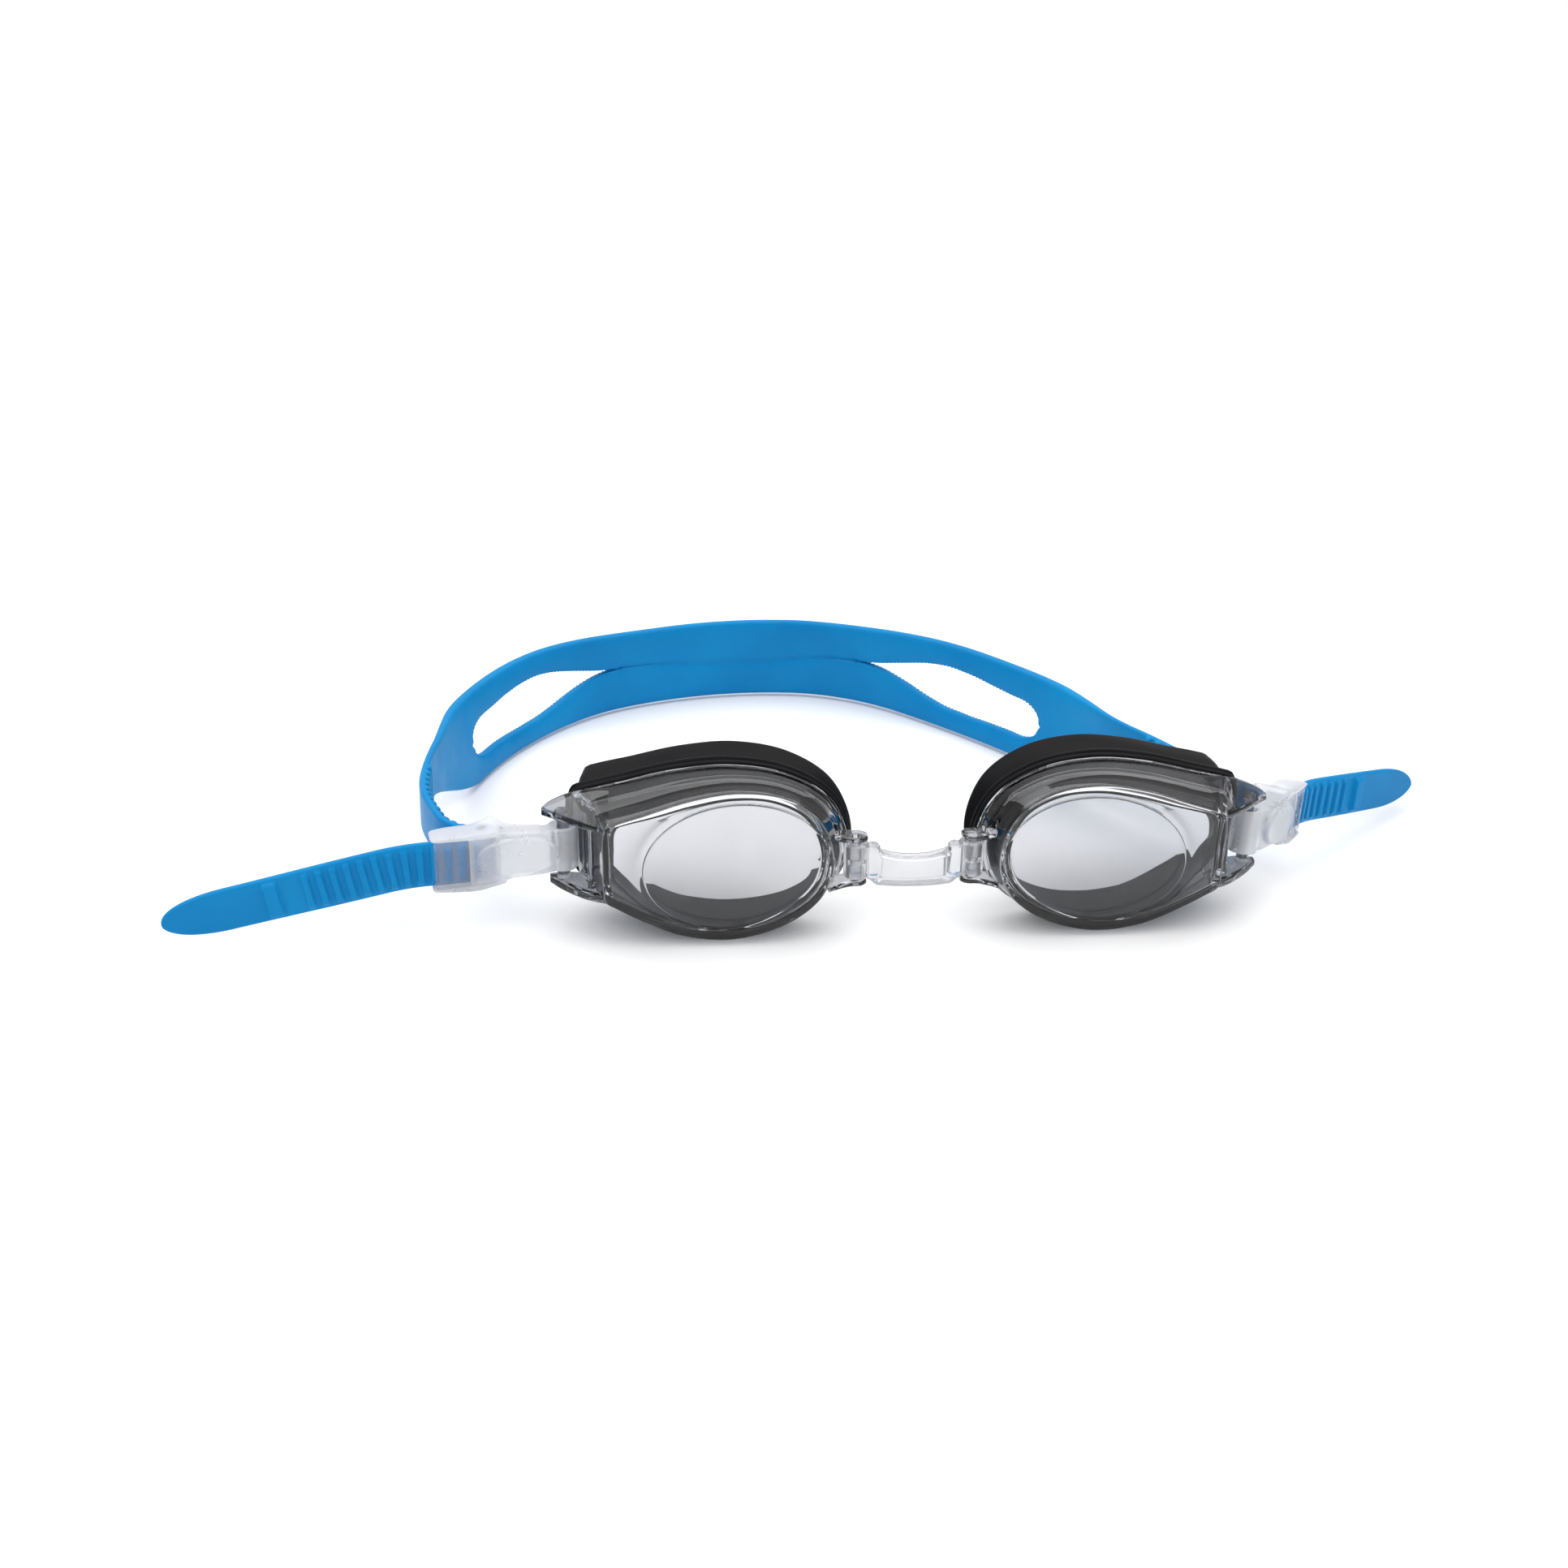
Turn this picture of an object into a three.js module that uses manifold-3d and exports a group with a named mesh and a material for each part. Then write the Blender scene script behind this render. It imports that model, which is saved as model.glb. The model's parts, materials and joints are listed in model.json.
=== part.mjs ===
// Swim goggles standing on a table: two clear lens cups with soft gaskets, a nose bridge, two strap
// clips and one flat strap with a split rear band.
// Millimetres. Left and right are as seen from the front: +X is to the right, +Y runs back to the
// head and +Z is up. Everything is first placed about the middle of the bridge, at the height of
// the lens centres, and the whole group is then moved so that the origin is under the middle of
// the bounding box, at the height of the lowest point.

import * as THREE from 'three';
import { mergeVertices } from 'three/addons/utils/BufferGeometryUtils.js';
import Module from 'manifold-3d';

const wasm = await Module();
wasm.setup();

// ---- Driving dimensions -------------------------------------------------------------------
const GAP = 0.3;                 // clearance between neighbouring pieces

const LENS_X = 39;               // lens centre, from the middle of the bridge
const FACE_THICKNESS = 2.2;
const WALL_THICKNESS = 1.2;
const FLANGE_DEPTH = 13;         // front face to the cup's rear rim, at the lens centre
const FLANGE_SLOPE = 0.15;       // the rim is deeper towards the temple
const RIM_THICKNESS = 1.2;
const RIM_LIP = 0.6;             // the rim stands out this far beyond the wall

const GASKET_LIP = 2.7;          // thickness of the gasket's collar behind the rim
const GASKET_LINING = 0.8;       // the gasket also lines the inside of the cup's wall
const GASKET_DEPTH = 22;         // front face to the edge that meets the skin, at the lens centre
const GASKET_SLOPE = 0.22;       // deeper towards the temple, and as much towards the brow
const GASKET_SHIFT = -2.4;       // the skin edge sits nearer the nose than the rim does

const POST = { x: 75.6, y: 13.3, radius: 1.4 };
const PIN = { x: 12.6, y: 5, radius: 1.2 };
const BRIDGE_THICKNESS = 3.2;

const STRAP_WIDTH = 10.4;
const STRAP_THICKNESS = 1.7;
const BAR_RADIUS = 1;
const FOLD_RADIUS = 2.2;         // middle of the strap, round the clip's bar
const BAR_U = 17.6;              // bar, outward from the post
const LOOP_RADIUS = 3.3;         // clears the cup's wall at the end of its swing
const LOOP_HALF_HEIGHT = 5.1;
const CLIP_LENGTH = 28.8;        // post to outer edge
const CLIP_FRONT = -4.1;
const CLIP_CHEEK = 5.5;          // inner faces of the clip's cheeks, above and below the strap

// How each clip hangs: degrees about the post, degrees of droop, where the strap leaves the turn
// round the bar, and how far and which way the free end runs beyond the clip.
const SIDES = {
  left: { sign: -1, yaw: -9.8, droop: 0.5, foldEnd: 115, tail: 58, tailYaw: 5.2, tailDroop: 11 },
  right: { sign: 1, yaw: 54, droop: 10, foldEnd: 150, tail: 50, tailYaw: -18, tailDroop: 1 },
};
const CLIP_HEIGHT = -0.3;        // middle of the clips, above the lens centres

// Middle of the strap seen from above, from near the left clip round the head to the right clip.
const STRAP_ROUTE = [
  [-97.5, 14], [-101.5, 17.8], [-104, 24], [-106.2, 32], [-107, 41], [-106.2, 53],
  [-104, 66], [-100.6, 79.5], [-95.5, 93], [-88.5, 105.8], [-79.5, 117], [-67.5, 127],
  [-52.5, 134.5], [-36, 139], [-20, 140], [-7, 138], [7, 131], [24, 116.5], [36, 103], [45.5, 90],
  [52.5, 77.5], [58.8, 64.5], [66.5, 52.8], [74.5, 42], [81.8, 31.8],
];
const REAR_CENTRE = 0.508;       // share of the route at the middle of the rear band
const SLOT_START = 33;           // the slots, measured along the strap from the rear centre
const SLOT_END = 92;
const SLOT_HALF_HEIGHT = 5.2;
const REAR_END = 131;            // where the wide rear moulding has narrowed to the plain strap
const REAR_BOTTOM = -18.6;       // lower edge of the rear moulding, from the lens centres' height
const REAR_TOP = 2.4;            // its upper edge at the rear centre

// ---- Materials ----------------------------------------------------------------------------
const clear = new THREE.MeshStandardMaterial({ color: 0x8d9095, roughness: 0.08, metalness: 0 });
const black = new THREE.MeshStandardMaterial({ color: 0x17171a, roughness: 0.55, metalness: 0 });
const crystal = new THREE.MeshStandardMaterial({ color: 0xd9dbdc, roughness: 0.15, metalness: 0 });
const milky = new THREE.MeshStandardMaterial({ color: 0xcfcfd2, roughness: 0.35, metalness: 0 });
const blue = new THREE.MeshStandardMaterial({ color: 0x1583c9, roughness: 0.5, metalness: 0 });

// ---- Geometry helpers ---------------------------------------------------------------------
const radians = THREE.MathUtils.degToRad;
const ease = (value, from, to) => THREE.MathUtils.smoothstep(value, from, to);

// Builds a closed surface from points and triangles, turned so that its faces point out.
function surface(points, triangles) {
  let volume = 0;
  for (const [a, b, c] of triangles) {
    volume += points[a].dot(points[b].clone().cross(points[c]));
  }
  const facing = volume > 0 ? triangles : triangles.map(([a, b, c]) => [a, c, b]);
  const geometry = new THREE.BufferGeometry();
  geometry.setAttribute('position', new THREE.Float32BufferAttribute(
    points.flatMap((p) => [p.x, p.y, p.z]), 3));
  geometry.setIndex(facing.flat());
  geometry.computeVertexNormals();
  return geometry;
}

// Skin over rings of equal length; the two ends are capped, or joined to each other.
function loft(rings, joinEnds = false) {
  const size = rings[0].length;
  const points = rings.flat();
  const triangles = [];
  const spans = joinEnds ? rings.length : rings.length - 1;
  for (let r = 0; r < spans; r += 1) {
    const near = r * size;
    const far = ((r + 1) % rings.length) * size;
    for (let i = 0; i < size; i += 1) {
      const j = (i + 1) % size;
      triangles.push([near + i, near + j, far + j], [near + i, far + j, far + i]);
    }
  }
  if (!joinEnds) {
    capRing(points, triangles, rings[0], 0, true);
    capRing(points, triangles, rings.at(-1), (rings.length - 1) * size, false);
  }
  return surface(points, triangles);
}

function capRing(points, triangles, ring, first, reversed) {
  const middle = new THREE.Vector3();
  ring.forEach((p) => middle.addScaledVector(p, 1 / ring.length));
  const centre = points.push(middle) - 1;
  for (let i = 0; i < ring.length; i += 1) {
    const a = first + i;
    const b = first + ((i + 1) % ring.length);
    triangles.push(reversed ? [centre, b, a] : [centre, a, b]);
  }
}

function solid(geometry) {
  const bare = new THREE.BufferGeometry().setAttribute('position', geometry.getAttribute('position'));
  bare.setIndex(geometry.index);
  const merged = mergeVertices(bare, 1e-4);
  return new wasm.Manifold(new wasm.Mesh({
    numProp: 3,
    vertProperties: new Float32Array(merged.attributes.position.array),
    triVerts: new Uint32Array(merged.index.array),
  }));
}

function geometryOf(body) {
  const mesh = body.getMesh();
  const geometry = new THREE.BufferGeometry();
  geometry.setAttribute('position', new THREE.BufferAttribute(new Float32Array(mesh.vertProperties), 3));
  geometry.setIndex(new THREE.BufferAttribute(new Uint32Array(mesh.triVerts), 1));
  geometry.computeVertexNormals();
  return geometry;
}

const join = (...pieces) => geometryOf(pieces.map(solid).reduce((whole, next) => whole.add(next)));
const cut = (piece, tool) => geometryOf(solid(piece).subtract(solid(tool)));

function box(x0, x1, y0, y1, z0, z1) {
  const block = new THREE.BoxGeometry(x1 - x0, y1 - y0, z1 - z0);
  return block.translate((x0 + x1) / 2, (y0 + y1) / 2, (z0 + z1) / 2);
}

// Upright cylinder.
function upright(x, y, radius, z0, z1, sides = 24) {
  const rod = new THREE.CylinderGeometry(radius, radius, z1 - z0, sides).rotateX(Math.PI / 2);
  return rod.translate(x, y, (z0 + z1) / 2);
}

// Outline drawn from above, raised from z0 to z1.
function raised(outline, z0, z1, curveSegments = 10) {
  const shape = outline instanceof THREE.Shape
    ? outline
    : new THREE.Shape(outline.map(([x, y]) => new THREE.Vector2(x, y)));
  return new THREE.ExtrudeGeometry(shape, { depth: z1 - z0, bevelEnabled: false, curveSegments })
    .translate(0, 0, z0);
}

function mesh(name, geometry, material) {
  const piece = new THREE.Mesh(geometry, material);
  piece.name = name;
  return piece;
}

// ---- Lens cup, drawn for the right side about its own lens centre: x to the temple --------
const OUTLINE_POINTS = 64;

// Front face: a flat upright temple edge, two long slopes and a round nose end.
function faceOutline() {
  const shape = new THREE.Shape();
  shape.moveTo(28.2, -6.5);
  shape.lineTo(28.4, 8);
  shape.quadraticCurveTo(28.4, 10, 26, 10.6);
  shape.splineThru([
    [20, 12.6], [10, 15.9], [0, 17.5], [-10, 16.1], [-17.8, 11], [-21.3, 1.5], [-19, -7.6],
    [-11.5, -14.2], [0, -17.7], [11, -16.6], [20, -12.7], [25.8, -9.4],
  ].map(([x, z]) => new THREE.Vector2(x, z)));
  shape.quadraticCurveTo(28.1, -8.4, 28.2, -6.5);
  return shape.getSpacedPoints(OUTLINE_POINTS).slice(0, OUTLINE_POINTS);
}

// Outline grown towards the head: it spreads sideways much more than up and down.
const flangeOutline = () => faceOutline().map((p) => new THREE.Vector2(
  4.7 + (p.x - 3.55) * 1.2, p.y * 1.045));

const rimDepth = (x) => FLANGE_DEPTH + FLANGE_SLOPE * x;

// A ring at depth(x, z) from an outline whose points move away from its middle by an offset.
function ring(outline, offset, depth) {
  const middle = new THREE.Vector2(4.5, 0);
  return outline.map((p) => {
    const out = p.clone().sub(middle);
    const q = out.multiplyScalar(1 + offset / out.length()).add(middle);
    return new THREE.Vector3(q.x, depth(q.x, q.y), q.y);
  });
}

function cupShell() {
  const face = faceOutline();
  const rim = flangeOutline();
  return loft([
    ring(face, -0.5, () => 0),
    ring(face, 0, () => 0.6),
    ring(rim, -RIM_LIP, (x) => rimDepth(x) - RIM_THICKNESS),
    ring(rim, 0, (x) => rimDepth(x) - RIM_THICKNESS),
    ring(rim, 0, rimDepth),
    ring(rim, -RIM_LIP - WALL_THICKNESS, rimDepth),
    ring(face, -WALL_THICKNESS - 0.3, () => FACE_THICKNESS),
  ]);
}

// Temple wing: an upper and a lower arm, each tapering from the wall to a thin tip, with the post
// for the strap clip between them.
function wing() {
  const station = (x, y0, y1, z0, z1) => [[y0, z0], [y1, z0], [y1, z1], [y0, z1]]
    .map(([y, z]) => new THREE.Vector3(x, y, z));
  const upper = loft([
    station(28, 2.6, 5, 6, 8.6), station(31, 4.4, 11, 5.8, 9.6), station(34.5, 8, 17.6, 5.6, 10.6),
    station(38, 11.5, 17.8, 5.6, 9), station(40.2, 14.5, 17.4, 5.6, 7.6),
  ]);
  const lower = loft([
    station(28, 2.6, 5, -9, -7.6), station(31, 4.4, 11, -10.2, -8), station(34.5, 8, 17, -10.6, -8),
    station(38.2, 11.5, 16.8, -10.4, -8), station(39.4, 13, 16, -9.8, -8),
  ]);
  const post = upright(POST.x - LENS_X, POST.y, POST.radius, -9, 7);
  return join(upper, lower, post);
}

// Nose side socket: two plates with the pin that the bridge's eye turns on.
function noseLug() {
  const plate = [[-20.6, 2.2], [-26.4, 2.6], [-28.6, 3.6], [-28.6, 6.6], [-26.4, 7.4], [-21.6, 7.6]];
  const pin = upright(PIN.x - LENS_X, PIN.y, PIN.radius, -6.6, 4.2);
  return join(raised(plate, 3.4, 4.8), raised(plate, -7, -5.6), pin);
}

const lensCup = () => join(cupShell(), wing(), noseLug());

// Face seal: a lining inside the cup's wall, a collar behind the cup's rim and a skirt that curves
// on to the face.
function gasket() {
  const face = faceOutline();
  const rim = flangeOutline();
  const collar = (x) => rimDepth(x) + GAP;
  const skirt = (x) => collar(x) + GASKET_LIP;
  const edge = (x, z) => GASKET_DEPTH + GASKET_SLOPE * (x + z);
  const seal = rim.map((p) => new THREE.Vector2(p.x + GASKET_SHIFT, p.y));
  const front = () => FACE_THICKNESS + 2 * GAP;
  const atFace = -WALL_THICKNESS - 0.3 - GAP * 1.5;
  const atRim = -RIM_LIP - WALL_THICKNESS - GAP;
  return loft([
    ring(face, atFace, front),
    ring(rim, atRim, collar),
    ring(rim, 0.4, collar),
    ring(rim, 0.7, (x) => collar(x) + GASKET_LIP / 2),
    ring(rim, 0.3, skirt),
    ring(rim, -1.2, (x) => skirt(x) + 0.6),
    ring(seal, -0.5, (x, z) => edge(x, z) - 1.3),
    ring(seal, -1, edge),
    ring(seal, -2.2, edge),
    ring(rim, atRim - GASKET_LINING, skirt),
    ring(face, atFace - GASKET_LINING, front),
  ], true);
}

// ---- Nose bridge --------------------------------------------------------------------------
function noseBridge() {
  const side = new THREE.Shape();
  side.moveTo(-PIN.x + 2, -5);
  side.quadraticCurveTo(0, -6.4, PIN.x - 2, -5);
  side.lineTo(PIN.x - 2, 2.9);
  side.quadraticCurveTo(0, -0.4, -PIN.x + 2, 2.9);
  const web = new THREE.ExtrudeGeometry(side, { depth: BRIDGE_THICKNESS, bevelEnabled: false })
    .rotateX(Math.PI / 2)
    .translate(0, PIN.y + BRIDGE_THICKNESS / 2, 0);
  const eye = (x) => upright(x, PIN.y, 2.7, -5.2, 3);
  const hole = (x) => upright(x, PIN.y, PIN.radius + GAP, -6, 4);
  const blank = join(web, eye(-PIN.x), eye(PIN.x));
  return cut(cut(blank, hole(-PIN.x)), hole(PIN.x));
}

// ---- Strap clip, drawn from its post: x outward, -y to the front --------------------------
// The loop's hole is longer than the post, which lets the clip droop.
function clipLoop() {
  const outline = new THREE.Shape().absarc(0.1, 0, LOOP_RADIUS, 0, 2 * Math.PI);
  const [along, across] = [POST.radius + 1.2, POST.radius + 0.5];
  outline.holes.push(new THREE.Path().absellipse(0, 0, along, across, 0, 2 * Math.PI, true));
  return raised(outline, -LOOP_HALF_HEIGHT, LOOP_HALF_HEIGHT, 24);
}

function clipPad() {
  const oval = new THREE.Shape().absellipse(0, 0, 9, 4.5, 0, 2 * Math.PI);
  return new THREE.ExtrudeGeometry(oval, { depth: 1.2, bevelEnabled: false, curveSegments: 16 })
    .rotateX(Math.PI / 2)
    .translate(10.8, CLIP_FRONT + 0.3, 0.3);
}

function strapClip() {
  const cheek = (z0, z1) => box(13.4, CLIP_LENGTH, -4.7, 2.4, z0, z1);
  const body = box(2.8, BAR_U - FOLD_RADIUS - 1.3, CLIP_FRONT, 0.4, -5.2, 5.4);
  const cover = box(13.4, CLIP_LENGTH - 0.6, CLIP_FRONT, -3.4, -5.7, 5.7);
  const bar = upright(BAR_U, 0, BAR_RADIUS, -5.8, 5.8, 16);
  const cheeks = join(cheek(CLIP_CHEEK, CLIP_CHEEK + 1.2), cheek(-CLIP_CHEEK - 1.2, -CLIP_CHEEK), cover);
  return join(clipLoop(), body, bar, cheeks, clipPad());
}

// ---- Strap --------------------------------------------------------------------------------
// Flat strip through stations that each give a middle, a direction across the thickness and a
// half width; the width direction is square to the other two.
function strip(stations) {
  const half = STRAP_THICKNESS / 2;
  return loft(stations.map(({ at, along, out, reach }) => {
    const across = along.clone().cross(out).normalize();
    const corner = (a, b) => at.clone().addScaledVector(out, a * half).addScaledVector(across, b * reach);
    return [corner(1, 1), corner(1, -1), corner(-1, -1), corner(-1, 1)];
  }));
}

// The turn round the clip's bar, ending in the layer under the clip's front cover.
function strapFold(foldEnd) {
  const stations = [];
  const up = STRAP_WIDTH / 2;
  const end = foldEnd - 360;
  const steps = 12;
  for (let i = 0; i <= steps; i += 1) {
    const angle = radians(THREE.MathUtils.lerp(-90, end, i / steps));
    const out = new THREE.Vector3(Math.cos(angle), Math.sin(angle), 0);
    const at = out.clone().multiplyScalar(FOLD_RADIUS).add(new THREE.Vector3(BAR_U, 0, 0));
    stations.push({ at, along: new THREE.Vector3(-out.y, out.x, 0), out, reach: up });
  }
  return strip(stations);
}

// Free end: straight under the cover, then bending away, with a rounded tip.
function strapTail({ tail, tailYaw, tailDroop }) {
  const stations = [];
  const start = BAR_U + GAP;
  const exit = CLIP_LENGTH;
  const total = exit - start + tail;
  const steps = 26;
  const at = new THREE.Vector3(start, -FOLD_RADIUS, 0);
  for (let i = 0; i <= steps; i += 1) {
    const run = (total * i) / steps;
    const bend = ease(run + start, exit, exit + 12);
    const yaw = radians(tailYaw * bend);
    const droop = radians(tailDroop * bend);
    const along = new THREE.Vector3(
      Math.cos(yaw) * Math.cos(droop), Math.sin(yaw) * Math.cos(droop), -Math.sin(droop));
    const out = new THREE.Vector3(-Math.sin(yaw), Math.cos(yaw), 0);
    const toTip = (total - run) / 16;
    const round = toTip < 1 ? Math.sqrt(1 - (1 - toTip) ** 2) : 1;
    stations.push({ at: at.clone(), along, out, reach: Math.max(0.4, (STRAP_WIDTH / 2) * round) });
    at.addScaledVector(along, total / steps);
  }
  return strip(stations);
}

// Where the strap leaves the turn round a clip's bar, seen from above.
function foldExit({ sign, yaw, foldEnd }) {
  const exit = new THREE.Vector2(FOLD_RADIUS, GAP * -1.2)
    .rotateAround(new THREE.Vector2(), radians(foldEnd))
    .add(new THREE.Vector2(BAR_U, 0))
    .rotateAround(new THREE.Vector2(), radians(yaw));
  return [sign * (POST.x + exit.x), POST.y + exit.y];
}

const route = new THREE.CatmullRomCurve3(
  [foldExit(SIDES.left), ...STRAP_ROUTE, foldExit(SIDES.right)]
    .map(([x, y]) => new THREE.Vector3(x, y, 0)), false, 'centripetal');
route.arcLengthDivisions = 2000;
const ROUTE_LENGTH = route.getLength();
const CENTRE_AT = REAR_CENTRE * ROUTE_LENGTH;

// Heights of the strap's edges at a distance from the rear centre, and of the slot between bands.
function strapHeights(distance) {
  const far = Math.abs(distance);
  const { droop } = distance < 0 ? SIDES.left : SIDES.right;
  const clipTop = CLIP_HEIGHT - BAR_U * Math.sin(radians(droop)) + STRAP_WIDTH / 2;
  const rearTop = REAR_TOP + 1.5 * ease(far, 20, 60);
  const top = THREE.MathUtils.lerp(rearTop, clipTop, ease(far, 130, 162));
  const bottom = THREE.MathUtils.lerp(REAR_BOTTOM, top - STRAP_WIDTH, ease(far, 96, REAR_END));
  const narrowing = 1 - 0.55 * ease(far, SLOT_END - 14, SLOT_END);
  const opening = ease(far, SLOT_START - 4, SLOT_START + 24) * narrowing;
  const half = Math.max(0.6, SLOT_HALF_HEIGHT * opening);
  const centre = THREE.MathUtils.lerp(-7.7, (top + bottom) / 2, ease(far, SLOT_END - 10, SLOT_END + 20));
  return [bottom, centre - half, centre + half, top];
}

// Strap on edge between two distances from the rear centre, one cell deep in thickness. The
// heights give the rows; isOpen says which cells of the middle row are slot.
function strapOnEdge(from, to, steps, edges, isOpen) {
  const points = [];
  const rows = edges(0).length;
  for (let i = 0; i <= steps; i += 1) {
    const distance = THREE.MathUtils.lerp(from, to, i / steps);
    const share = (CENTRE_AT + distance) / ROUTE_LENGTH;
    const at = route.getPointAt(share);
    const along = route.getTangentAt(share);
    const out = new THREE.Vector3(-along.y, along.x, 0);
    const lean = 0.16 * ease(Math.abs(distance), 30, 70) * (1 - ease(Math.abs(distance), 95, 120));
    for (const height of edges(distance)) {
      for (const side of [0.5, -0.5]) {
        const offset = side * STRAP_THICKNESS + lean * (height + 8);
        points.push(at.clone().addScaledVector(out, offset).setZ(height));
      }
    }
  }
  const corner = (i, row, side) => (i * rows + row) * 2 + side;
  const filled = (i, row) => i >= 0 && i < steps && row >= 0 && row < rows - 1
    && !isOpen(THREE.MathUtils.lerp(from, to, (i + 0.5) / steps), row);
  const triangles = [];
  const quad = (a, b, c, d) => triangles.push([a, b, c], [a, c, d]);
  for (let i = 0; i < steps; i += 1) {
    for (let row = 0; row < rows - 1; row += 1) {
      if (!filled(i, row)) continue;
      const [a, b, c, d] = [[i, row], [i + 1, row], [i + 1, row + 1], [i, row + 1]];
      quad(...[a, b, c, d].map((k) => corner(...k, 0)));
      quad(...[d, c, b, a].map((k) => corner(...k, 1)));
      const wall = (p, q) => quad(corner(...q, 0), corner(...p, 0), corner(...p, 1), corner(...q, 1));
      if (!filled(i, row - 1)) wall(a, b);
      if (!filled(i + 1, row)) wall(b, c);
      if (!filled(i, row + 1)) wall(c, d);
      if (!filled(i - 1, row)) wall(d, a);
    }
  }
  return surface(points, triangles);
}

function strapRear() {
  const inSlot = (distance, row) => row === 1
    && Math.abs(distance) > SLOT_START && Math.abs(distance) < SLOT_END;
  return strapOnEdge(-REAR_END, REAR_END, 88, strapHeights, inSlot);
}

// Plain strap between the rear moulding and the clip.
function strapRun(sign) {
  const ends = [sign * (REAR_END + GAP), sign > 0 ? ROUTE_LENGTH - CENTRE_AT : -CENTRE_AT];
  const outer = (distance) => {
    const heights = strapHeights(distance);
    return [heights[3] - STRAP_WIDTH, heights[3]];
  };
  return strapOnEdge(Math.min(...ends), Math.max(...ends), 14, outer, () => false);
}

// ---- Assembly -----------------------------------------------------------------------------
function eyeCup(name) {
  const cup = new THREE.Group();
  cup.add(mesh(`${name}_lens_cup`, lensCup(), clear), mesh(`${name}_gasket`, gasket(), black));
  cup.position.x = LENS_X;
  return cup;
}

function clipAndTail(name, side) {
  const clip = new THREE.Group();
  clip.add(
    mesh(`${name}_strap_clip`, strapClip(), milky),
    mesh(`${name}_strap_fold`, strapFold(side.foldEnd), blue),
    mesh(`${name}_strap_tail`, strapTail(side), blue));
  clip.position.set(POST.x, POST.y, CLIP_HEIGHT);
  clip.rotation.set(0, radians(side.droop), radians(side.yaw), 'ZYX');
  return clip;
}

const goggles = new THREE.Group();
goggles.add(mesh('nose_bridge', noseBridge(), crystal), mesh('strap_rear', strapRear(), blue));
for (const [name, side] of Object.entries(SIDES)) {
  const half = new THREE.Group();
  half.add(eyeCup(name), clipAndTail(name, side));
  half.scale.x = side.sign;
  goggles.add(half, mesh(`${name}_strap_run`, strapRun(side.sign), blue));
}

goggles.updateMatrixWorld(true);
const bounds = new THREE.Box3().setFromObject(goggles, true);
const middle = bounds.getCenter(new THREE.Vector3());
goggles.position.set(-middle.x, -middle.y, -bounds.min.z);

export default goggles;
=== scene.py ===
"""Swim goggles: the visual model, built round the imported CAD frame.

Every shape is drawn in millimetres about the middle of the bridge, at the height of the lens
centres and in the plane of the lens fronts: x to the viewer's right, y back to the head, z up.
place() turns that into metres in the row frame.
"""

import json
import math

import bmesh
import bpy
import numpy as np
from mathutils import Matrix, Vector


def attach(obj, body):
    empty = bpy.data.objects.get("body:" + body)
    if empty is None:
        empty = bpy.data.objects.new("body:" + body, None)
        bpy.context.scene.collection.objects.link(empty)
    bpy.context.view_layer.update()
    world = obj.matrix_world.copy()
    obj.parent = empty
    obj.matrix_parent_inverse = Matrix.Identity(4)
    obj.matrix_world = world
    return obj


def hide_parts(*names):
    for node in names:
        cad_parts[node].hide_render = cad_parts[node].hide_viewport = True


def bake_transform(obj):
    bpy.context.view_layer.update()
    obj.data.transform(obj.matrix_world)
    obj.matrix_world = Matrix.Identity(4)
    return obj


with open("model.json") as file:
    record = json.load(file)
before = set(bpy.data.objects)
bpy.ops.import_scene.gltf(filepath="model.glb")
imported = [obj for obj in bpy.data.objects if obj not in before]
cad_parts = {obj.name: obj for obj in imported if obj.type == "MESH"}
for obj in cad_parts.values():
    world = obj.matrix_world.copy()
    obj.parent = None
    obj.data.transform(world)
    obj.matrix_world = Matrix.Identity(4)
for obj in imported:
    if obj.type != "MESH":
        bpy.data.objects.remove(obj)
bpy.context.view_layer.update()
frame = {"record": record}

# ---- Places and sizes, in millimetres -------------------------------------------------------
MOUNTS = {m["name"]: Vector(m["pos_m"]) for m in frame["record"]["mounts"]}
ORIGIN = (MOUNTS["left_lens_face"] + MOUNTS["right_lens_face"]) / 2
LENS_X = (MOUNTS["right_lens_face"] - ORIGIN).x * 1000
TABLE = -ORIGIN.z * 1000

LENS_WIDE = 20.3          # semi-axes of the optical zone
LENS_HIGH = 15.0
LENS_TILT = math.radians(-5)
LENS_RISE = 0.45          # of the optical zone in front of the face
FACE_THICKNESS = 2.2
WALL = 1.2
RIM_DEPTH = 13            # front face to the cup's rear rim, at the lens centre
RIM_SLOPE = 0.15          # the rim is deeper towards the temple
RIM_THICKNESS = 1.2
RIM_LIP = 0.6             # the rim stands out this far beyond the wall
GAP = 0.3                 # clearance between neighbouring pieces
LINING = 0.8              # of the seal, inside the cup's wall
COLLAR = 2.7              # thickness of the seal behind the rim
GASKET_DEPTH = 22         # front face to the seal's skin edge, at the lens centre
GASKET_SLOPE = (0.22, 0.30)   # deeper towards the temple and the brow
GASKET_SHIFT = -1.8       # the skin edge sits nearer the nose than the rim does
SEAT = 0.02               # cups and seals end this far above the table
POST = Vector((75.6, 13.3, -0.3))   # the clip's pivot, at the height of the clip's middle
POST_RADIUS = 1.4
PIN = Vector((12.6, 5, 0))          # the bridge's pivot
PIN_RADIUS = 1.2

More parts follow.
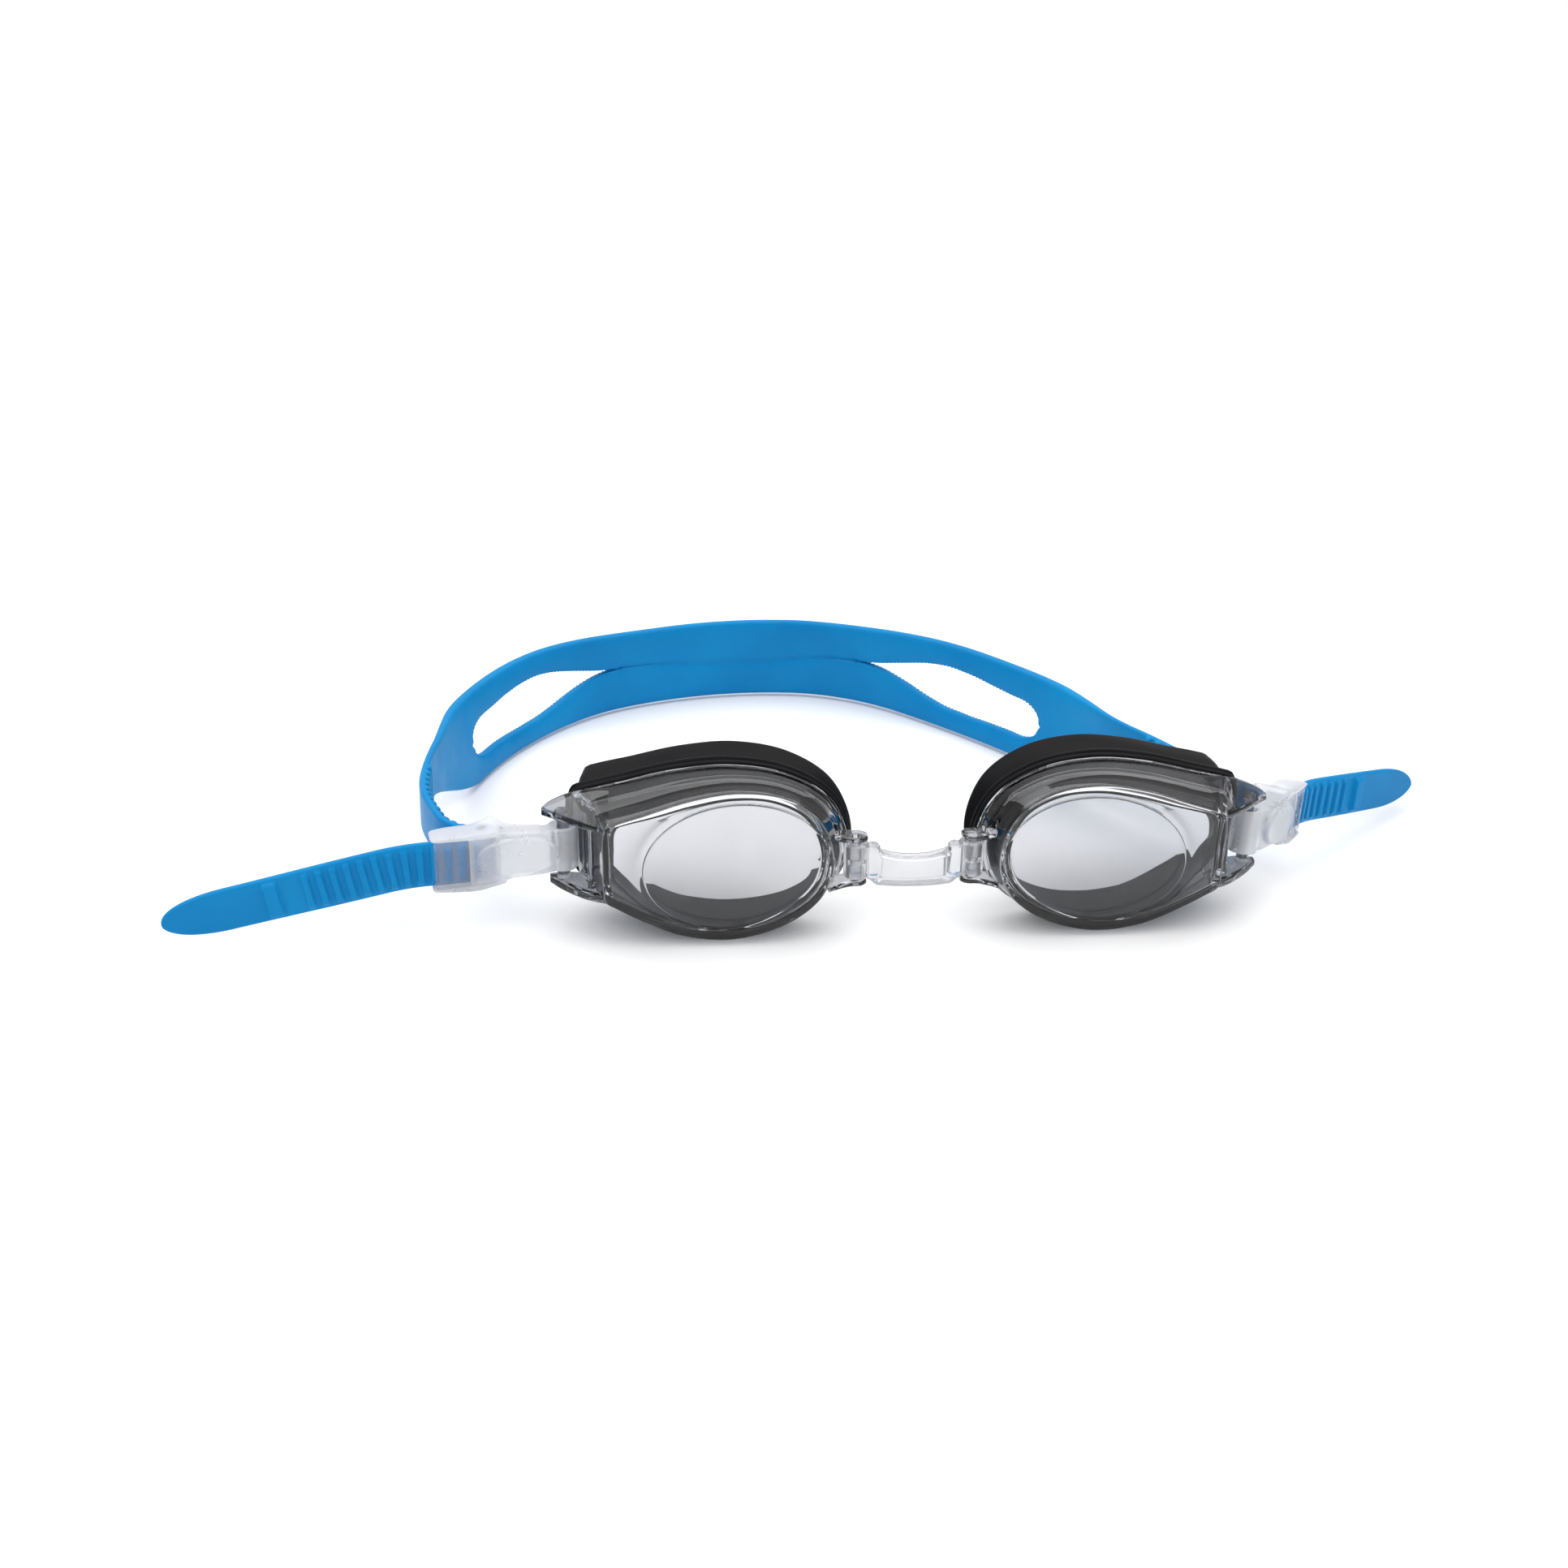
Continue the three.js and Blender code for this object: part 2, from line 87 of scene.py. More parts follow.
STRAP_WIDTH = 10.4
STRAP_THICKNESS = 1.6
REAR_THICKNESS = 2.9
SEAM_HEIGHT = -9.4        # of the groove between the bands, at the rear centre
RIB_PITCH = 3.0
RIB_HEIGHT = 0.75
RIB_START = 131.5         # from the rear centre, on the strap's inner face
FOLD_RADIUS = 2.2         # middle of the strap, round the clip's bar
FOLD_GAP = 0.36           # the run begins this far beyond the turn's end
BAR_U = 17.6              # the bar, outward from the post
BAR_RADIUS = 1.0
LOOP_RADIUS = 3.3
CLIP_LENGTH = 28.8        # post to outer edge
CLIP_FRONT = -4.1
CHEEK = 5.5               # inner faces of the clip's cheeks, above and below the strap
MELT_CELL = 0.16          # grid that the clips are melted on
MELT_SMOOTHING = 6

# How each clip hangs: degrees about the post, degrees of droop, where the strap leaves the turn
# round the bar, and how far and which way the free end runs beyond the clip.
SIDES = {
    "left": dict(sign=-1, yaw=-9.8, droop=0.5, fold_end=115, tail=58, tail_yaw=5.2, tail_droop=11),
    "right": dict(sign=1, yaw=54, droop=10, fold_end=150, tail=50, tail_yaw=-18, tail_droop=1),
}

# Middle of the strap seen from above, the same route that the CAD strap follows.
STRAP_ROUTE = [
    (-97.5, 14), (-101.5, 17.8), (-104, 24), (-106.2, 32), (-107, 41), (-106.2, 53),
    (-104, 66), (-100.6, 79.5), (-95.5, 93), (-88.5, 105.8), (-79.5, 117), (-67.5, 127),
    (-52.5, 134.5), (-36, 139), (-20, 140), (-7, 138), (7, 131), (24, 116.5), (36, 103), (45.5, 90),
    (52.5, 77.5), (58.8, 64.5), (66.5, 52.8), (74.5, 42), (81.8, 31.8),
]
REAR_CENTRE = 0.508       # share of the route at the middle of the rear band
SLOT_START = 33           # the slots, measured along the strap from the rear centre
SLOT_END = 93.5
SLOT_HALF = 5.6
REAR_END = 131            # where the rear moulding has narrowed to the plain strap
REAR_TOP = 2.4            # its upper edge at the rear centre
REAR_LIFT = 0.7           # its lower edge above the table
REAR_COLUMNS = 481        # mesh of the rear moulding: along it, and up each band
REAR_ROWS = 19
SECTION_ROWS = 25         # mesh across the plain strap


def place(points):
    """Drawing millimetres to metres in the row frame."""
    return np.asarray(points, float) * 0.001 + np.array(ORIGIN)


def ease(value, start, end):
    """Smooth step from 0 at start to 1 at end; works on arrays."""
    t = np.clip((np.asarray(value, float) - start) / (end - start), 0, 1)
    return t * t * (3 - 2 * t)


def lerp(a, b, t):
    """From a at t = 0 to b at t = 1; works on arrays."""
    return a + (b - a) * t


def circle(size):
    """Evenly spaced angles round a full turn."""
    return np.arange(size) / size * 2 * math.pi


def signed_power(values, power):
    """Raises sizes to a power and keeps the signs, which squares off a circle."""
    return np.sign(values) * np.abs(values) ** power


# ---- Mesh helpers ---------------------------------------------------------------------------
def add_object(name, data):
    obj = bpy.data.objects.new(name, data)
    bpy.context.scene.collection.objects.link(obj)
    return obj


def make_mesh(name, points, faces, sharp=40):
    """A smooth-shaded object from drawing points; edges sharper than sharp degrees stay crisp."""
    mesh = bpy.data.meshes.new(name)
    mesh.from_pydata([tuple(p) for p in place(points)], [], faces)
    mesh.validate()
    obj = add_object(name, mesh)
    turn_out(obj)
    shade(obj, sharp)
    return obj


def turn_out(obj):
    """Makes every face of a closed mesh point outwards."""
    bm = bmesh.new()
    bm.from_mesh(obj.data)
    bmesh.ops.remove_doubles(bm, verts=bm.verts, dist=1e-7)
    bmesh.ops.recalc_face_normals(bm, faces=bm.faces)
    bm.to_mesh(obj.data)
    bm.free()


def shade(obj, sharp):
    """Smooth shading that keeps edges sharper than sharp degrees crisp."""
    obj.data.shade_smooth()
    obj.data.set_sharp_from_angle(angle=math.radians(sharp))


def settle(obj, sharp=40):
    """Applies the object's modifiers to its mesh."""
    graph = bpy.context.evaluated_depsgraph_get()
    mesh = bpy.data.meshes.new_from_object(obj.evaluated_get(graph))
    obj.modifiers.clear()
    obj.data = mesh
    shade(obj, sharp)
    return obj


def skin(rings, loop=False):
    """Points and faces of a tube through rings of equal length, capped or joined end to end."""
    size = len(rings[0])
    points = [p for ring in rings for p in ring]
    faces = []
    for r in range(len(rings) if loop else len(rings) - 1):
        near, far = r * size, (r + 1) % len(rings) * size
        for i in range(size):
            j = (i + 1) % size
            faces.append((near + i, near + j, far + j, far + i))
    if not loop:
        for first, ring in ((0, rings[0]), ((len(rings) - 1) * size, rings[-1])):
            points.append(np.mean(ring, axis=0))
            middle = len(points) - 1
            faces += [(first + i, first + (i + 1) % size, middle) for i in range(size)]
    return points, faces


def smooth_rings(rings, steps):
    """Extra rings between the given ones, on Catmull-Rom curves."""
    rings = [np.asarray(r, float) for r in rings]
    padded = [2 * rings[0] - rings[1], *rings, 2 * rings[-1] - rings[-2]]
    made = []
    for k in range(1, len(padded) - 2):
        a, b, c, d = padded[k - 1 : k + 3]
        for t in np.arange(steps) / steps:
            made.append(
                0.5 * (2 * b + (c - a) * t + (2 * a - 5 * b + 4 * c - d) * t**2
                       + (3 * b - a - 3 * c + d) * t**3)
            )
    return [*made, rings[-1]]


def slab(y0, y1, z0, z1, x, power=4.0):
    """A rounded rectangle across x, rounder as power falls to 2."""
    angle = circle(32)
    y = (y0 + y1) / 2 + (y1 - y0) / 2 * signed_power(np.cos(angle), 2 / power)
    z = (z0 + z1) / 2 + (z1 - z0) / 2 * signed_power(np.sin(angle), 2 / power)
    return np.column_stack([np.full(len(angle), float(x)), y, z])


def column(x, y, profile, size=32, wide=1.0):
    """A turned upright piece: profile is (radius, z) pairs from the bottom up."""
    angle = circle(size)
    return [
        np.column_stack([x + r * wide * np.cos(angle), y + r * np.sin(angle), np.full(size, float(z))])
        for r, z in profile
    ]


def rod(x, y, radius, z0, z1, wide=1.0, soft=0.25):
    """An upright pin with softened ends."""
    profile = [(radius - soft, z0), (radius, z0 + soft), (radius, z1 - soft), (radius - soft, z1)]
    return column(x, y, profile, wide=wide)


def mirrored(points, sign):
    """The points on the side that sign names."""
    points = np.array(points, float)
    points[:, 0] *= sign
    return points


def joined(name, solids, place_points, cut=(), sharp=35):
    """One solid from closed (points, faces) pieces by exact union, less the pieces in cut."""
    base, *others = [make_mesh(f"{name}_{i}", place_points(p), f) for i, (p, f) in enumerate(solids)]
    tools = [(o, "UNION") for o in others]
    tools += [(make_mesh(f"{name}_cut{i}", place_points(p), f), "DIFFERENCE")
              for i, (p, f) in enumerate(cut)]
    for tool, operation in tools:
        modifier = base.modifiers.new("join", "BOOLEAN")
        modifier.operation = operation
        modifier.solver = "EXACT"
        modifier.object = tool
    settle(base, sharp)
    for tool, _ in tools:
        bpy.data.objects.remove(tool)
    base.name = name
    return base


def keep_outer_shell(obj):
    """Drops the closed bubbles that melting leaves inside a moulding."""
    bm = bmesh.new()
    bm.from_mesh(obj.data)
    seen = [False] * len(bm.verts)
    shells = []
    for start in bm.verts:
        if seen[start.index]:
            continue
        seen[start.index] = True
        shell = [start]
        for vert in shell:
            for edge in vert.link_edges:
                other = edge.other_vert(vert)
                if not seen[other.index]:
                    seen[other.index] = True
                    shell.append(other)
        shells.append(shell)
    outer = max(shells, key=len)
    inner = [vert for shell in shells if shell is not outer for vert in shell]
    bmesh.ops.delete(bm, geom=inner, context="VERTS")
    bm.to_mesh(obj.data)
    bm.free()


def moulded(name, solids, place_points):
    """One soft-edged moulding: closed pieces melted together on a fine grid of cells."""
    points, faces = [], []
    for piece_points, piece_faces in solids:
        first = len(points)
        points.extend(piece_points)
        faces.extend(tuple(first + i for i in face) for face in piece_faces)
    obj = make_mesh(name, place_points(points), faces)
    remesh = obj.modifiers.new("melt", "REMESH")
    remesh.mode = "VOXEL"
    remesh.voxel_size = MELT_CELL * 0.001
    settle(obj)
    keep_outer_shell(obj)
    relax = obj.modifiers.new("relax", "SMOOTH")
    relax.factor = 0.5
    relax.iterations = MELT_SMOOTHING
    return settle(obj, 60)


# ---- Materials ------------------------------------------------------------------------------
def new_material(name):
    """A material with its Principled shader, and a coordinate that follows the piece."""
    material = bpy.data.materials.new(name)
    material.use_nodes = True
    nodes = material.node_tree.nodes
    shader = nodes["Principled BSDF"]
    where = nodes.new("ShaderNodeTexCoord")
    return material, shader, where


def noise(material, where, scale, detail=4):
    """A noise texture fixed to the piece."""
    node = material.node_tree.nodes.new("ShaderNodeTexNoise")
    node.inputs["Scale"].default_value = scale
    node.inputs["Detail"].default_value = detail
    node.inputs["Roughness"].default_value = 0.6
    material.node_tree.links.new(where.outputs["Object"], node.inputs["Vector"])
    return node.outputs["Fac"]


def span(material, source, low, high, start=0.3, end=0.7):
    """Stretches what lies between start and end, in a 0..1 texture or a length, to low and high."""
    node = material.node_tree.nodes.new("ShaderNodeMapRange")
    node.inputs["From Min"].default_value = start
    node.inputs["From Max"].default_value = end
    node.inputs["To Min"].default_value = low
    node.inputs["To Max"].default_value = high
    material.node_tree.links.new(source, node.inputs["Value"])
    return node.outputs["Result"]


def tint(material, source, low, high):
    """Stretches a 0..1 texture between two colours."""
    node = material.node_tree.nodes.new("ShaderNodeValToRGB")
    node.color_ramp.elements[0].position = 0.3
    node.color_ramp.elements[0].color = (*low, 1)
    node.color_ramp.elements[1].position = 0.7
    node.color_ramp.elements[1].color = (*high, 1)
    material.node_tree.links.new(source, node.inputs["Fac"])
    return node.outputs["Color"]


def grain(material, shader, sources):
    """Stacks fine relief: (texture output, strength, height in metres) from coarse to fine."""
    normal = None
    for source, strength, height in sources:
        node = material.node_tree.nodes.new("ShaderNodeBump")
        node.inputs["Strength"].default_value = strength
        node.inputs["Distance"].default_value = height
        material.node_tree.links.new(source, node.inputs["Height"])
        if normal is not None:
            material.node_tree.links.new(normal, node.inputs["Normal"])
        normal = node.outputs["Normal"]
    material.node_tree.links.new(normal, shader.inputs["Normal"])


def dress(material, shader, colour, roughness, relief):
    """Gives the shader its varying colour and roughness, and relief as grain() takes it."""
    material.node_tree.links.new(colour, shader.inputs["Base Color"])
    material.node_tree.links.new(roughness, shader.inputs["Roughness"])
    grain(material, shader, relief)


def calculated(material, operation, *values):
    """Output of a Math node whose inputs are linked outputs or plain numbers."""
    node = material.node_tree.nodes.new("ShaderNodeMath")
    node.operation = operation
    for socket, value in zip(node.inputs, values):
        if isinstance(value, float):
            socket.default_value = value
        else:
            material.node_tree.links.new(value, socket)
    return node.outputs["Value"]


def let_lamps_through(material, shader, colour):
    """Lets light reach what is behind clear plastic."""
    nodes, links = material.node_tree.nodes, material.node_tree.links
    path = nodes.new("ShaderNodeLightPath")
    open_air = nodes.new("ShaderNodeBsdfTransparent")
    open_air.inputs["Color"].default_value = (*colour, 1)
    mix = nodes.new("ShaderNodeMixShader")
    links.new(path.outputs["Is Shadow Ray"], mix.inputs["Fac"])
    links.new(shader.outputs["BSDF"], mix.inputs[1])
    links.new(open_air.outputs["BSDF"], mix.inputs[2])
    links.new(mix.outputs["Shader"], nodes["Material Output"].inputs["Surface"])


def wall_shade_mask(material, where):
    """1 in the cup's walls and wings, where the smoke tint is darkened as painted shade; 0 in its face
    and nose lugs.
    """
    split = material.node_tree.nodes.new("ShaderNodeSeparateXYZ")
    material.node_tree.links.new(where.outputs["Object"], split.inputs["Vector"])
    behind = span(material, split.outputs["Y"], 0, 1, ORIGIN.y + 0.0031, ORIGIN.y + 0.0036)
    across = calculated(material, "SUBTRACT", split.outputs["X"], ORIGIN.x)
    spread = calculated(material, "ABSOLUTE", across)
    past_lug = span(material, spread, 0, 1, 0.017, 0.020)
    return calculated(material, "MULTIPLY", behind, past_lug)


def smoke_plastic():
    """Grey-tinted polished polycarbonate with flow marks; walls and wings tinted darker as painted
    shade for the shaded floor and seal behind.
    """
    material, shader, where = new_material("smoke_cup_plastic")
    broad = noise(material, where, 60, 3)
    fine = noise(material, where, 900, 5)
    links = material.node_tree.links
    colour = material.node_tree.nodes.new("ShaderNodeMix")
    colour.data_type = "RGBA"
    # The walls and wings take the darker tint B: painted shade for the shaded floor and black seal seen
    # through them.
    links.new(wall_shade_mask(material, where), colour.inputs["Factor"])
    links.new(tint(material, broad, (0.55, 0.555, 0.58), (0.60, 0.605, 0.63)), colour.inputs["A"])
    links.new(tint(material, broad, (0.26, 0.265, 0.29), (0.32, 0.325, 0.35)), colour.inputs["B"])
    dress(material, shader, colour.outputs["Result"], span(material, fine, 0.015, 0.05),
          [(broad, 0.04, 0.0003), (fine, 0.02, 0.00003)])
    shader.inputs["Transmission Weight"].default_value = 1
    shader.inputs["IOR"].default_value = 1.5
    let_lamps_through(material, shader, (0.72, 0.73, 0.75))
    return material


def black_rubber():
    """Soft matt seal: near black, cloudy and finely pitted."""
    material, shader, where = new_material("black_seal_rubber")
    broad = noise(material, where, 90, 4)
    pits = noise(material, where, 2600, 3)
    colour = tint(material, broad, (0.004, 0.004, 0.005), (0.009, 0.009, 0.010))
    dress(material, shader, colour, span(material, broad, 0.38, 0.5),
          [(broad, 0.12, 0.0003), (pits, 0.25, 0.00006)])
    shader.inputs["Specular IOR Level"].default_value = 0.06
    return material


def crystal_plastic():
    """Clear flexible bridge plastic, slightly hazy."""
    material, shader, where = new_material("clear_bridge_plastic")
    broad = noise(material, where, 120, 3)
    fine = noise(material, where, 1500, 4)
    colour = tint(material, broad, (0.70, 0.71, 0.735), (0.78, 0.785, 0.80))
    dress(material, shader, colour, span(material, fine, 0.1, 0.2),
          [(broad, 0.1, 0.0003), (fine, 0.06, 0.00004)])
    shader.inputs["Transmission Weight"].default_value = 0.9
    shader.inputs["IOR"].default_value = 1.47
    let_lamps_through(material, shader, (0.88, 0.89, 0.9))
    return material


def milky_plastic(name, clearness, haze):
    """Frosted clip plastic that blurs the strap behind it."""
    material, shader, where = new_material(name)
    broad = noise(material, where, 110, 4)
    fine = noise(material, where, 1800, 4)
    colour = tint(material, broad, (0.70, 0.71, 0.735), (0.77, 0.775, 0.795))
    dress(material, shader, colour, span(material, broad, haze - 0.05, haze + 0.05),
          [(broad, 0.08, 0.0003), (fine, 0.12, 0.00004)])
    shader.inputs["Transmission Weight"].default_value = clearness
    shader.inputs["IOR"].default_value = 1.4
    let_lamps_through(material, shader, (0.9, 0.91, 0.92))
    return material


def blue_silicone():
    """Strap silicone: satin blue with soft cloudy variation and a fine mould grain."""
    material, shader, where = new_material("blue_strap_silicone")
    broad = noise(material, where, 35, 4)
    cloud = noise(material, where, 160, 5)
    pits = noise(material, where, 3000, 3)
    colour = tint(material, broad, (0.002, 0.20, 0.49), (0.003, 0.25, 0.56))
    dress(material, shader, colour, span(material, cloud, 0.36, 0.5),
          [(cloud, 0.08, 0.0003), (pits, 0.2, 0.00005)])
    shader.inputs["Subsurface Weight"].default_value = 0.12
    shader.inputs["Subsurface Radius"].default_value = (0.2, 0.6, 1.0)
    shader.inputs["Subsurface Scale"].default_value = 0.0015
    shader.inputs["Specular IOR Level"].default_value = 0.12
    return material


SMOKE = smoke_plastic()
RUBBER = black_rubber()
CRYSTAL = crystal_plastic()
MILKY = milky_plastic("milky_clip_plastic", 0.6, 0.3)
THIN_MILKY = milky_plastic("thin_cover_plastic", 0.88, 0.14)
BLUE = blue_silicone()


def finish_piece(obj, material, *nodes):
    """Gives a piece its material and slot, and hides the CAD nodes it stands for."""
    obj.data.materials.clear()
    obj.data.materials.append(material)
    if nodes:
        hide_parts(*nodes)
    return obj


# ---- Lens cups ------------------------------------------------------------------------------
FACE_POINTS = [
    (28.2, -6.5), (28.45, 0.8), (28.4, 8), (27.7, 9.8), (26, 10.6), (20, 12.6), (10, 15.9), (0, 17.5),
    (-10, 16.1), (-17.8, 11), (-21.3, 1.5), (-19, -7.6), (-11.5, -14.2), (0, -17.7), (11, -16.6),
    (20, -12.7), (25.8, -9.4), (27.7, -8.2),
]
OUTLINE_SIZE = 144
OUTLINE_MIDDLE = np.array([4.5, 0])
FACE_MIDDLE, RIM_MIDDLE = 3.55, 4.7
RIM_SPREAD = (1.2, 1.045)       # the rim is this much wider and taller than the face


def curve(points, steps, closed=False):
    """Points on a smooth curve through the given ones, tightest where they are close together."""
    points = np.asarray(points, float)
    if closed:
        points = np.vstack([points[-3:], points, points[:4]])
    knots = [0.0]
    for a, b in zip(points, points[1:]):
        knots.append(knots[-1] + math.sqrt(np.linalg.norm(b - a)))
    slopes = np.gradient(points, np.array(knots), axis=0)
    made = []
    for k in range(len(points) - 1):
        width = knots[k + 1] - knots[k]
        for t in np.arange(steps) / steps:
            made.append(
                (2 * t**3 - 3 * t**2 + 1) * points[k] + (t**3 - 2 * t**2 + t) * width * slopes[k]
                + (3 * t**2 - 2 * t**3) * points[k + 1] + (t**3 - t**2) * width * slopes[k + 1]
            )
    made.append(points[-1])
    return np.array(made[3 * steps : -3 * steps]) if closed else np.array(made)


def measured(points):
    """Distance along a row of points."""
    step = np.linalg.norm(np.diff(points, axis=0), axis=1)
    return np.concatenate([[0], np.cumsum(step)])


def closed_curve(points, size):
    """Evenly spaced points round a closed smooth curve."""
    dense = curve(points, 24, closed=True)
    along = measured(dense)
    wanted = np.arange(size) / size * along[-1]
    return np.column_stack([np.interp(wanted, along, dense[:, k]) for k in range(2)])


FACE = closed_curve(FACE_POINTS, OUTLINE_SIZE)
RIM = np.column_stack([RIM_MIDDLE + (FACE[:, 0] - FACE_MIDDLE) * RIM_SPREAD[0],
                       FACE[:, 1] * RIM_SPREAD[1]])
SEAL = RIM + np.array([GASKET_SHIFT, 0])


def rim_depth(x, z=0):
    return RIM_DEPTH + RIM_SLOPE * x


def grown(outline, offset):
    """The outline moved out (or in) by offset from its middle."""
    out = outline - OUTLINE_MIDDLE
    length = np.linalg.norm(out, axis=1, keepdims=True)
    return out * (1 + offset / length) + OUTLINE_MIDDLE


def ring_at(outline, depth):
    """A ring in the cup's own frame; depth is a number or depth(x, z)."""
    x, z = outline[:, 0], outline[:, 1]
    y = depth(x, z) if callable(depth) else np.full(len(x), float(depth))
    return np.column_stack([x, y, z])


def lens_zone(scale, inside=None):
    """The optical ellipse, or what fits of it inside another outline."""
    angle = np.arctan2(FACE[:, 1] / LENS_HIGH, FACE[:, 0] / LENS_WIDE)
    x, z = LENS_WIDE * np.cos(angle), LENS_HIGH * np.sin(angle)
    c, s = math.cos(LENS_TILT), math.sin(LENS_TILT)
    zone = np.column_stack([c * x - s * z, s * x + c * z]) * scale
    if inside is None:
        return zone
    reach = np.linalg.norm(zone, axis=1, keepdims=True)
    limit = np.linalg.norm(inside, axis=1, keepdims=True)
    return zone * np.minimum(1, limit / reach)


def between(a, b, t):
    """A ring part of the way from ring a to ring b."""
    return a * (1 - t) + b * t


def cup_shell():
    """Front plate with the raised optical zone, flared wall with a ridge, and the rear rim."""
    rim_front = lambda x, z: rim_depth(x) - RIM_THICKNESS
    wall_top = grown(RIM, -RIM_LIP)
    inner_top = grown(RIM, -RIM_LIP - WALL)
    inner_face = grown(FACE, -WALL - 0.3)
    rings = [ring_at(lens_zone(s), -LENS_RISE) for s in (0.3, 0.6, 0.85, 0.96, 0.972)]
    rings += [ring_at(lens_zone(s), y) for s, y in ((0.978, -0.4), (0.986, 0.1), (0.994, 0.1))]
    rings += [ring_at(between(lens_zone(1.0), grown(FACE, -0.9), t), 0) for t in (0.02, 0.12, 0.5, 0.9)]
    rings += [ring_at(grown(FACE, -0.6), 0), ring_at(grown(FACE, -0.3), 0.08),
              ring_at(grown(FACE, -0.08), 0.3), ring_at(FACE, 0.65)]
    low, high = ring_at(FACE, 0.65), ring_at(wall_top, rim_front)
    for t, out in ((0.15, 0), (0.35, 0), (0.56, 0), (0.585, 0.18), (0.61, 0.42), (0.64, 0.5),
                   (0.7, 0.46), (0.85, 0.3), (0.96, 0.12)):
        wall = between(low, high, t)
        rings.append(ring_at(grown(wall[:, [0, 2]], out), lambda x, z, y=wall[:, 1]: y))
    rings += [ring_at(grown(RIM, -RIM_LIP + 0.15), rim_front), ring_at(grown(RIM, -0.15), rim_front),
              *[ring_at(RIM, lambda x, z, d=d: rim_depth(x) - d) for d in (1.0, 0.2)],
              ring_at(grown(RIM, -0.2), rim_depth), ring_at(grown(inner_top, 0.15), rim_depth)]
    low, high = ring_at(inner_top, rim_depth), ring_at(inner_face, FACE_THICKNESS + 0.4)
    rings += [between(low, high, t) for t in (0.02, 0.25, 0.5, 0.75, 0.98)]
    rings.append(ring_at(grown(FACE, -WALL - 0.7), FACE_THICKNESS))
    pad = grown(FACE, -WALL - 1.0)
    rings += [ring_at(lens_zone(1.13, pad), FACE_THICKNESS),
              ring_at(lens_zone(1.06, grown(pad, -0.3)), 2.9),
              ring_at(lens_zone(1.0, grown(pad, -0.7)), 3.1)]
    rings += [ring_at(lens_zone(s), 2.8 + 0.3 * s * s) for s in (0.9, 0.7, 0.45, 0.2)]
    return skin(rings)


def roof(x, front, rear, thick):
    """Section of a sloping blade across x, from its (y, z) front top edge to its rear one."""
    angle = circle(40)
    across, upward = signed_power(np.cos(angle), 0.35), signed_power(np.sin(angle), 0.5)
    (y0, z0), (y1, z1) = front, rear
    share = (across + 1) / 2
    z = z0 + (z1 - z0) * share - thick / 2 * (1 - upward) + 0.25 * np.sin(math.pi * share)
    return np.column_stack([np.full(len(angle), float(x)), y0 + (y1 - y0) * share, z])


def cup_wing():
    """Temple wing: sloping roof and floor blades, a rib between them, and the clip's post."""
    upper = [(26.6, (1.2, 9.2), (15.2, 12.6), 1.7), (28.6, (2.4, 9.0), (16.4, 12.2), 1.7),
             (31.5, (4.6, 8.7), (17.4, 11.5), 1.7), (34.5, (7.6, 8.3), (18.0, 10.6), 1.7),
             (37.4, (10.8, 7.9), (18.2, 9.4), 1.6), (39.8, (13.6, 7.4), (17.8, 8.2), 1.4),
             (41.2, (15.0, 6.9), (16.8, 7.2), 0.9)]
    lower = [(26.6, (1.2, -7.4), (14.2, -8.6), 1.8), (28.6, (2.4, -7.5), (15.2, -8.6), 2.0),
             (31.5, (4.6, -7.7), (16.2, -8.5), 2.2), (34.5, (7.6, -7.9), (17.0, -8.4), 2.2),
             (37.4, (10.6, -8.0), (17.0, -8.4), 1.9), (39.6, (13.2, -8.2), (16.0, -8.4), 1.2)]
    blades = [skin(smooth_rings([roof(*section) for section in blade], 6)) for blade in (upper, lower)]
    rib = column(30.4, 7.2, [(0.8, -8.8), (0.62, -6), (0.55, 0), (0.62, 5.5), (0.8, 7.9)], 24, 1.5)
    flare = 0.45
    profile = [(POST_RADIUS + flare, -9), (POST_RADIUS, -7.6), (POST_RADIUS, 5.8),
               (POST_RADIUS + flare, 7.4)]
    post = column(POST.x - LENS_X, POST.y, profile)
    return [*blades, skin(rib), skin(post)]


def nose_lug():
    """Two tapered plates and the pin that the bridge's eye turns on."""
    def plate(z0, z1, lift):
        return skin(smooth_rings([
            slab(2.6, 8.8, z0 + lift, z1 + lift * 1.4, -20.4, 4),
            slab(2.6, 8.2, z0 + lift * 0.4, z1 + lift * 0.6, -22.6, 4),
            slab(2.7, 7.8, z0, z1, -25, 4), slab(3.0, 7.3, z0, z1, -27.4, 4),
            slab(4.0, 6.4, z0 + 0.15, z1 - 0.15, -28.7, 3),
        ], 5))
    pin = skin(rod(PIN.x - LENS_X, PIN.y, PIN_RADIUS, -6.4, 4.2))
    return [plate(3.4, 4.8, 1.2), plate(-7.0, -5.6, -1.2), pin]


